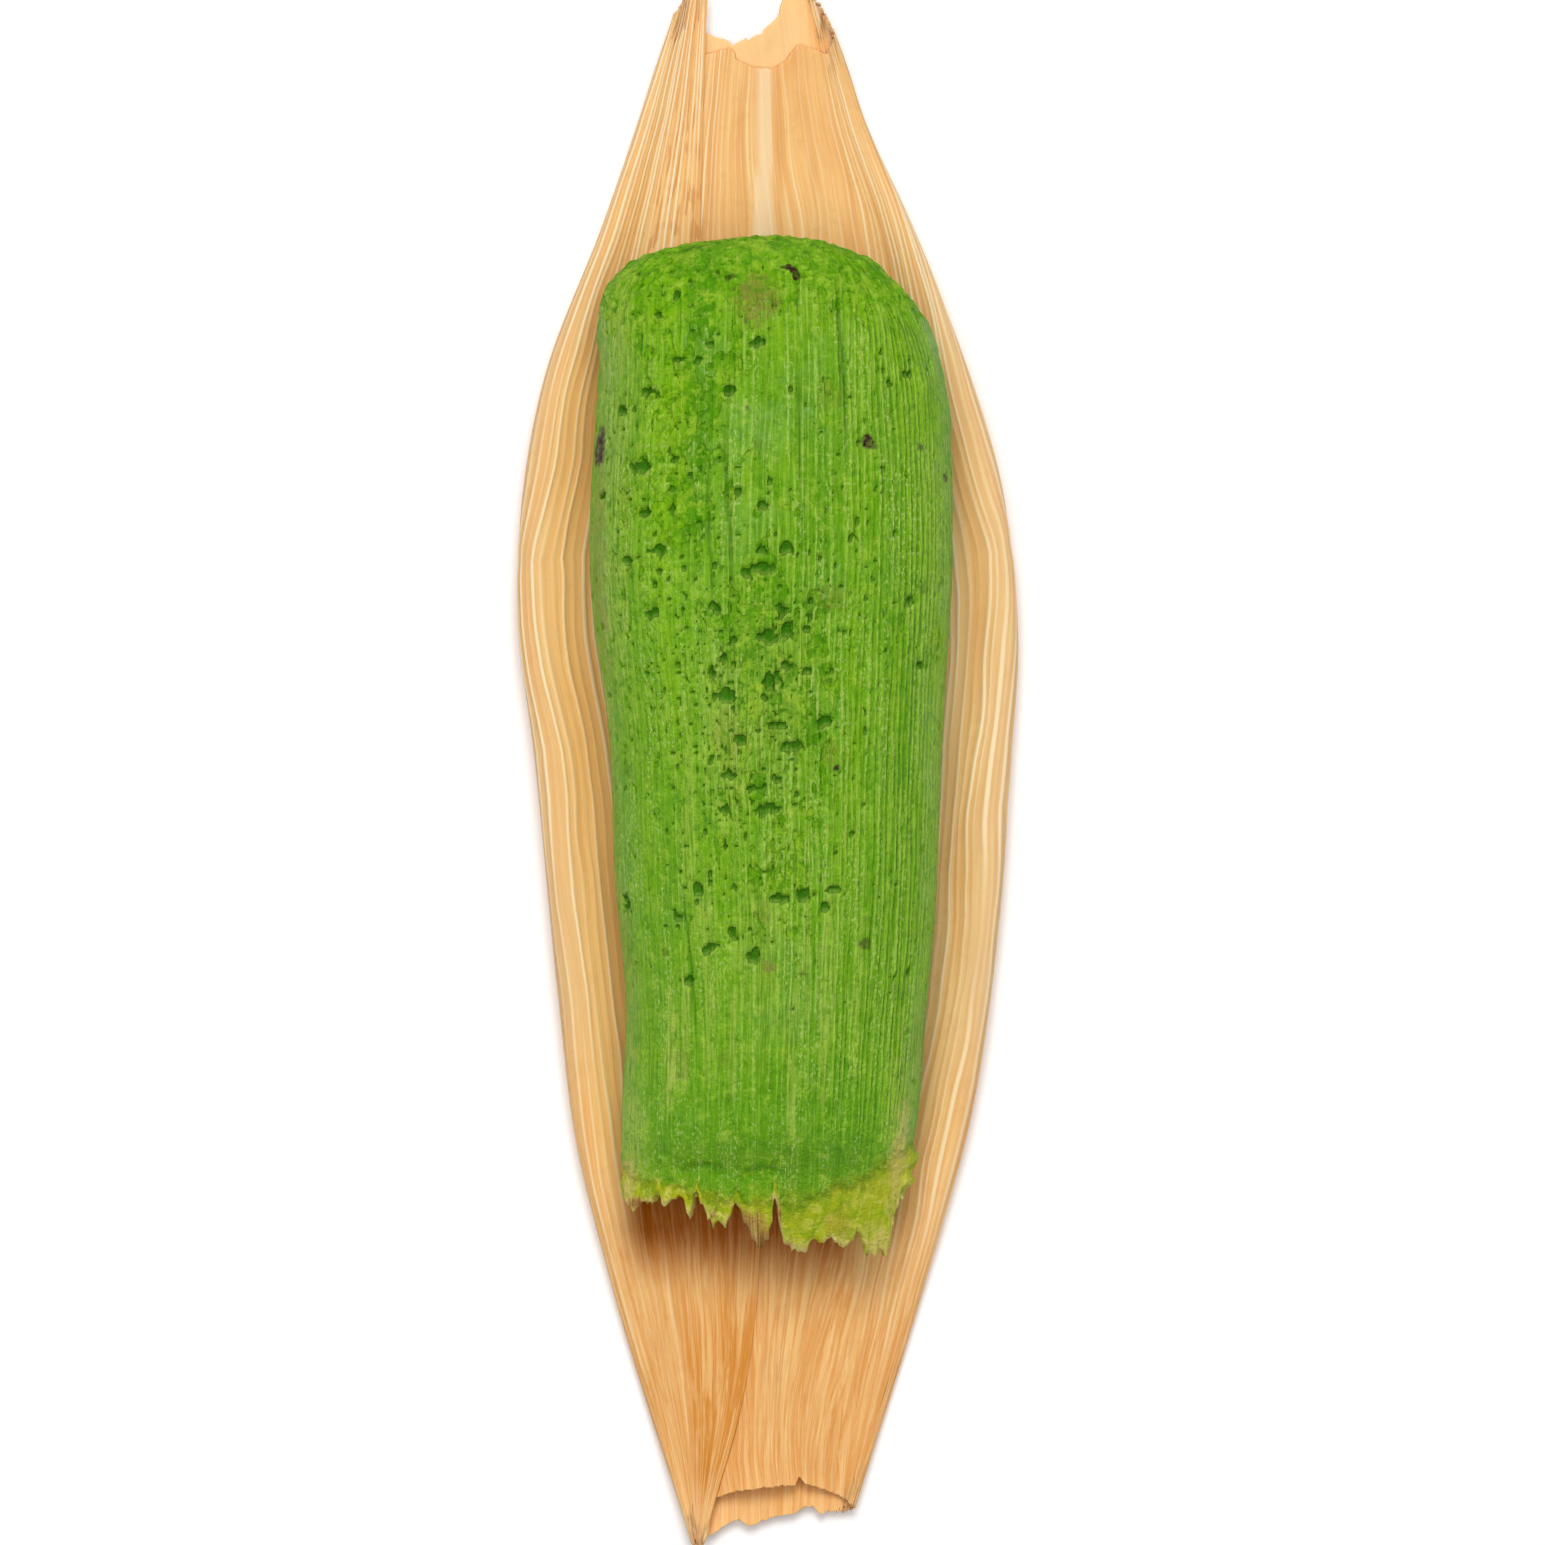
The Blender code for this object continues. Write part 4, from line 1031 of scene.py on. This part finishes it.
def shapeDough():
    angle = doughAngles()[None, :]
    body = doughRows()[:, None]
    x, z = doughSection(angle, body)
    y = np.broadcast_to(body, x.shape)
    rings = np.array(dough["footRings"], float)
    arc = np.linspace(0, rings[-1, 0], dough["footRows"] + 1)[1:]
    settings = (curveThrough(rings[:, (0, k)], arc)[:, None] for k in range(1, rings.shape[1]))
    shift, follow, width, height, depth = settings
    row = dough["tornBack"] + shift
    lipX = doughSection(angle, dough["tornBack"])[0]
    over = np.clip(np.sin(angle), 0, 1) ** 0.35
    tear = (lineThrough(dough["tear"], lipX) - dough["tornBack"]) * over
    teeth = 0.6 * ripple(lipX / 0.8, lipX * 0, 61) + 0.6 * ripple(lipX / 0.4, lipX * 0, 63)
    tear = tear + teeth * over
    footY = row + tear * follow
    # a short piece of the lip breaks off higher up the slope than a long shred's tip
    short = 1 - np.clip(-tear / dough["longShred"], 0, 1)
    lipLift = dough["lipLift"] * short * between(arc, *dough["lipAlong"])[:, None]
    footX, footZ = doughSection(angle, row, width, height + lipLift, depth)
    x, y, z = np.concatenate([x, footX]), np.concatenate([y, footY]), np.concatenate([z, footZ])

    q = roundFromCrown(x, y, angle)
    flank = ease((np.cos(angle) - 0.9) / 0.09)
    for middle, half, out in dough["lobes"]:
        x = x + out * hill((y - middle) / half) * flank
    narrowed = np.minimum(rounding(y, dough["roundRight"]), rounding(y, dough["roundLeft"]))
    side = ease((np.abs(np.cos(angle)) - 0.45) / 0.3)
    straight = 1 - side * (1 - ease((narrowed - 0.8) / 0.15))
    over = np.broadcast_to(np.sin(angle) > 0, x.shape)
    headFace = ease((0.62 - narrowed) / 0.3)
    relief, marks, groove = doughRelief(q, x, y, z, over, straight, headFace)
    # the last rows of the foot are the torn face, in full crumb
    rowNumber = np.arange(len(x))[:, None]
    footRows = dough["footRows"]
    face = ease((rowNumber - dough["bodyRows"] - 0.5 * footRows) / (0.1 * footRows))
    marks["torn"] = np.maximum(marks["torn"], face)
    marks["rim"] = marks["rim"] * (1 - face)
    for name in ("stains", "blushes", "pit", "frayed", "dried", "shaded", "lit", "limp"):
        marks[name] = marks[name] * (1 - face)
    relief = relief * (1 - face) + dough["faceHeight"] * face * ripples(x / 1.7, z / 1.7, 62)
    ends = ease(rowNumber / 6) * ease((len(x) - 1 - rowNumber) / 5)
    ends = ends * between(angle, -0.5 * np.pi, 0.4, 1.5 * np.pi, 0.4)

    wrap = [np.concatenate([a[:, -1:], a, a[:, :1]], axis=1) for a in (x, y, z)]
    normals = surfaceNormals(*wrap)[:, 1:-1]
    points = np.stack([x, y, z], axis=-1) + normals * (relief * ends)[..., None]
    points[..., 2] = np.maximum(points[..., 2], dough["base"] - 0.1)
    return points, groove, marks


def doughFinish():
    material, shader, start = startFinish("green masa", {
        "Specular IOR Level": 0.12, "Subsurface Weight": 0.08, "Subsurface Radius": (0.6, 1.0, 0.15),
        "Subsurface Scale": 0.0007, "Coat Roughness": 0.2})
    grain, place = start.places()
    pit, pressed, skin, torn, crumb, rim, seam = start.marks("pit pressed skin torn crumb rim seam")
    stain, blush, fresh, lush, bleached = start.marks("stains blushes fresh lush bleached")
    frayed, dried, limp, shaded, lit, headFace = start.marks("frayed dried limp shaded lit headFace")
    groove = start.node("ShaderNodeSeparateXYZ", {}, {0: grain}, "X")
    wander = grain.streaks(0.9, 0.1, 3.0, 0.6)
    turns = (groove + wander * 1.1) * (2 * math.pi)
    comb = start.node("ShaderNodeMath", {"operation": "COSINE"}, {0: turns})
    wide = grain.streaks(0.3, 0.02, 2.0, 0.5, 0.1)
    narrow = grain.streaks(1.0, 0.045, 2.0, 0.5, 0.1)
    own = grain.streaks(0.8, 0.035, 2.0, 0.6)
    thin = grain.streaks(3.3, 0.2, 3.0, 0.65, 0.3)
    dashes = grain.streaks(1.6, 0.7, 3.0, 0.7)
    flecks = grain.streaks(2.8, 1.7, 2.0, 0.6)
    paleZone = grain.streaks(0.5, 0.05, 2.0, 0.55).band(0.46, 0.6)
    grit = place.noise(1300, 5.0, 0.72)
    sand = place.noise(3400, 2.0, 0.6)
    cloud = place.noise(110, 3.0, 0.55)
    mottle = place.noise(620, 4.0, 0.7, 0.6)
    lumps = place.noise(420, 3.0, 0.6, 0.8)
    thin = thin * (1 - headFace) + (mottle + 0.05) * headFace
    whole = (skin + (grit - 0.5) * 1.1).band(0.35, 0.65)
    crumbly = (1 - whole) * (1 - torn)
    line = comb.band(0.2, 0.95) * pressed * dashes.band(0.32, 0.56) * own.band(0.36, 0.62)
    betweenLines = comb.band(-0.1, -0.9) * pressed * own.band(0.36, 0.6)
    ripped = (torn + (lumps - 0.5) * 1.1).band(0.05, 0.95)
    hole = (pit + (grit - 0.5) * 0.6).band(0.28, 0.6)
    tone = (wide * 0.5 + narrow * 0.5) * (1 - headFace) + place.noise(240, 3.0, 0.6) * headFace
    colour = tone.ramp((
        (0.36, (84, 150, 0)), (0.46, (101, 163, 4)),
        (0.55, (115, 172, 14)), (0.66, (136, 184, 30)),
    )).layered((
        ((84, 150, 0), cloud.band(0.45, 0.65) * 0.35),
        ((128, 178, 34), whole * 0.4),
        # fresh yellow-green, and painted light on the shaded flanks and round the head
        ((138, 190, 4), fresh * (0.35 + 0.5 * narrow)),
        # lush green spots, and painted shade in the ledge scars
        ((76, 144, 0), lush * (0.25 + 0.6 * thin)),
        # bleached skin, and painted light on the shaded flank rims
        ((178, 192, 88), bleached * (0.1 + 0.85 * thin.band(0.36, 0.64))),
        ((74, 140, 0), mottle.band(0.46, 0.36) * 0.55),
        ((156, 198, 54), mottle.band(0.55, 0.62) * 0.55),
        ((76, 142, 0), betweenLines * 0.35),
        ((172, 206, 84), line * (0.35 + 0.4 * whole)),
        ((154, 194, 46), lumps.band(0.52, 0.6) * crumbly * 0.5),
        ((72, 138, 0), lumps.band(0.47, 0.38) * crumbly * 0.5),
        ((168, 204, 86), thin.band(0.55, 0.68) * whole * 0.5),
        ((188, 214, 118), flecks.band(0.53, 0.62) * paleZone * whole * 0.55),
        ((66, 130, 0), thin.band(0.48, 0.34) * 0.5),
        # painted highlight on the raised crumbs, and below it painted shade where the fine grit bump is
        # low
        ((168, 204, 64), crumb.band(0.5, 0.8) * grit.band(0.47, 0.62) * (1 - whole) * 0.75),
        ((58, 120, 0), grit.band(0.47, 0.35) * (1 - 0.6 * whole) * 0.7),
        ((138, 126, 56), blush * (grit.band(0.36, 0.6) * 0.6 + thin.band(0.4, 0.6) * 0.4)),
        # painted shade along the bottoms of the deep creases
        ((52, 112, 0), seam * 0.8),
        ((184, 190, 32), ripped * (0.95 - 0.25 * limp)),
        ((222, 216, 104), ripped * mottle.band(0.48, 0.6) * (0.7 - 0.4 * limp)),
        ((124, 166, 0), ripped * lumps.band(0.48, 0.38) * 0.5),
        ((196, 184, 66), ripped * limp * cloud.band(0.5, 0.62) * 0.25),
        ((216, 196, 112), dried * (0.35 + 0.65 * grit.band(0.4, 0.58))),
        ((220, 204, 132), rim * (0.35 + 0.5 * grit.band(0.4, 0.6))),
        ((178, 122, 66), frayed * (0.75 + 0.25 * thin.band(0.38, 0.58))),
        ((84, 52, 22), frayed * thin.band(0.49, 0.4) * 0.7),
        ((228, 208, 156), frayed * thin.band(0.54, 0.64) * 0.6),
        # painted shade: darker green on the floors of the hollows
        ((52, 116, 0), hole * (0.65 + 0.3 * pit)),
        ((40, 98, 0), shaded * 0.35),
        ((170, 204, 82), lit * (0.15 + 0.45 * grit)),
        ((60, 34, 26), stain.band(0.1, 0.9) * (0.5 + 0.5 * grit.band(0.35, 0.55))),
    ))
    relief = comb * pressed * 0.25 + thin * 0.35 + grit * 1.1 + sand * 0.4 + whole * 0.3 - hole * 0.6
    inputs = {"Strength": 1.0, "Distance": 0.0004, "Height": relief}
    bump = start.node("ShaderNodeBump", {}, inputs, "Normal")
    rough = 0.6 - 0.18 * whole + 0.12 * grit
    wet = whole * (1 - hole) * cloud.band(0.45, 0.62) * 0.1
    connect(shader, {"Base Color": colour, "Roughness": rough, "Coat Weight": wet, "Normal": bump})
    return material


def makeDough():
    points, groove, marks = shapeDough()
    rows, columns = points.shape[:2]
    quads = gridFaces(rows, columns + 1)  # as if unrolled, with the first column twice
    wrapped = (quads // (columns + 1)) * columns + (quads % (columns + 1)) % columns
    once = sectionArc()[1][-1] / dough["groovePitch"]  # grooves all the way round
    allRound = np.concatenate([groove, groove[:, :1] - once], axis=1)
    along = np.concatenate([points[..., 1], points[:, :1, 1]], axis=1)
    unrolled = np.stack([allRound, along], axis=-1).reshape(-1, 2)
    head, foot = rows * columns, rows * columns + 1
    ring = np.arange(columns)
    headFan = np.stack([ring, np.full(columns, head), (ring + 1) % columns], axis=1)
    last = (rows - 1) * columns
    footFan = np.stack([last + ring, last + (ring + 1) % columns, np.full(columns, foot)], axis=1)
    flat = points.reshape(-1, 3)
    headPole = [flat[:columns, 0].mean(), dough["head"], flat[:columns, 2].mean()]
    everyPoint = np.concatenate([flat, [headPole, flat[last:].mean(axis=0)]])
    ends = [np.repeat([[0, y]], 3 * columns, axis=0) for y in (dough["head"], dough["tornBack"])]
    grain = np.concatenate([unrolled[quads.ravel()], *ends])
    pointMarks = {name: np.concatenate([v.ravel(), v[0, :1], v[-1, :1]]) for name, v in marks.items()}
    faces = wrapped.tolist() + headFan.tolist() + footFan.tolist()
    body = makePiece("masaBody", everyPoint, faces, doughFinish(), grain, pointMarks)
    print("masa:", rows, "by", columns, "points,", 2 * len(wrapped) + 2 * columns, "triangles")
    return body


studio = {
    "table": 2.0,  # metres across
    "tableColour": (0.95, 0.95, 0.95, 1.0),
    "sky": 0.24,
    "lens": 400,  # a long lens straight above, in millimetres
    "sensor": 36,
    "view": (188.5, 0.55, -0.9),  # width seen and the middle of the view
    # each lamp: (name, place, watts, size), in metres
    "lamps": (
        ("headLamp", (0.03, 0.55, 1.25), 10, 0.5),
        ("topLamp", (0.0, 0.02, 1.5), 8, 1.1),
        ("sideLamp", (-0.25, -0.2, 1.3), 2.5, 0.8),
    ),
}


def makeTable():
    half = studio["table"] / 2 / mm
    corners = np.array([(-half, -half, 0), (half, -half, 0), (half, half, 0), (-half, half, 0)], float)
    corners[:, 2] = cadLow.z / mm - 0.05
    material = startFinish("pale table", {"Base Color": studio["tableColour"], "Roughness": 0.8})[0]
    table = makePiece("table", corners, [(0, 1, 2, 3)], material)


def lightStudio():
    world = bpy.data.worlds.new("soft sky")
    world.use_nodes = True
    world.node_tree.nodes["Background"].inputs["Color"].default_value = (1, 1, 1, 1)
    world.node_tree.nodes["Background"].inputs["Strength"].default_value = studio["sky"]
    bpy.context.scene.world = world
    for name, place, watts, size in studio["lamps"]:
        lamp = bpy.data.lights.new(name, "AREA")
        lamp.energy = watts
        lamp.size = size
        holder = bpy.data.objects.new(name, lamp)
        holder.location = place
        away = math.hypot(place[0], place[1])
        holder.rotation_euler = (math.atan2(away, place[2]), 0, math.atan2(place[0], -place[1]))
        bpy.context.scene.collection.objects.link(holder)


def placeCamera():
    width, x, y = studio["view"]
    camera = bpy.data.cameras.new("overhead")
    camera.lens = studio["lens"]
    camera.sensor_width = studio["sensor"]
    camera.clip_end = 20
    holder = bpy.data.objects.new("overhead", camera)
    distance = width * mm * studio["lens"] / studio["sensor"]
    holder.location = (x * mm, y * mm, distance + cadLow.z)
    bpy.context.scene.collection.objects.link(holder)
    bpy.context.scene.camera = holder
    bpy.context.scene.view_settings.view_transform = "Standard"


husk = makeHusk()
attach(husk, "root")
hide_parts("husk")

masa = makeDough()
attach(masa, "root")
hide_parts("masa")

makeTable()
lightStudio()
placeCamera()
print("studio: table, lamps and camera placed")
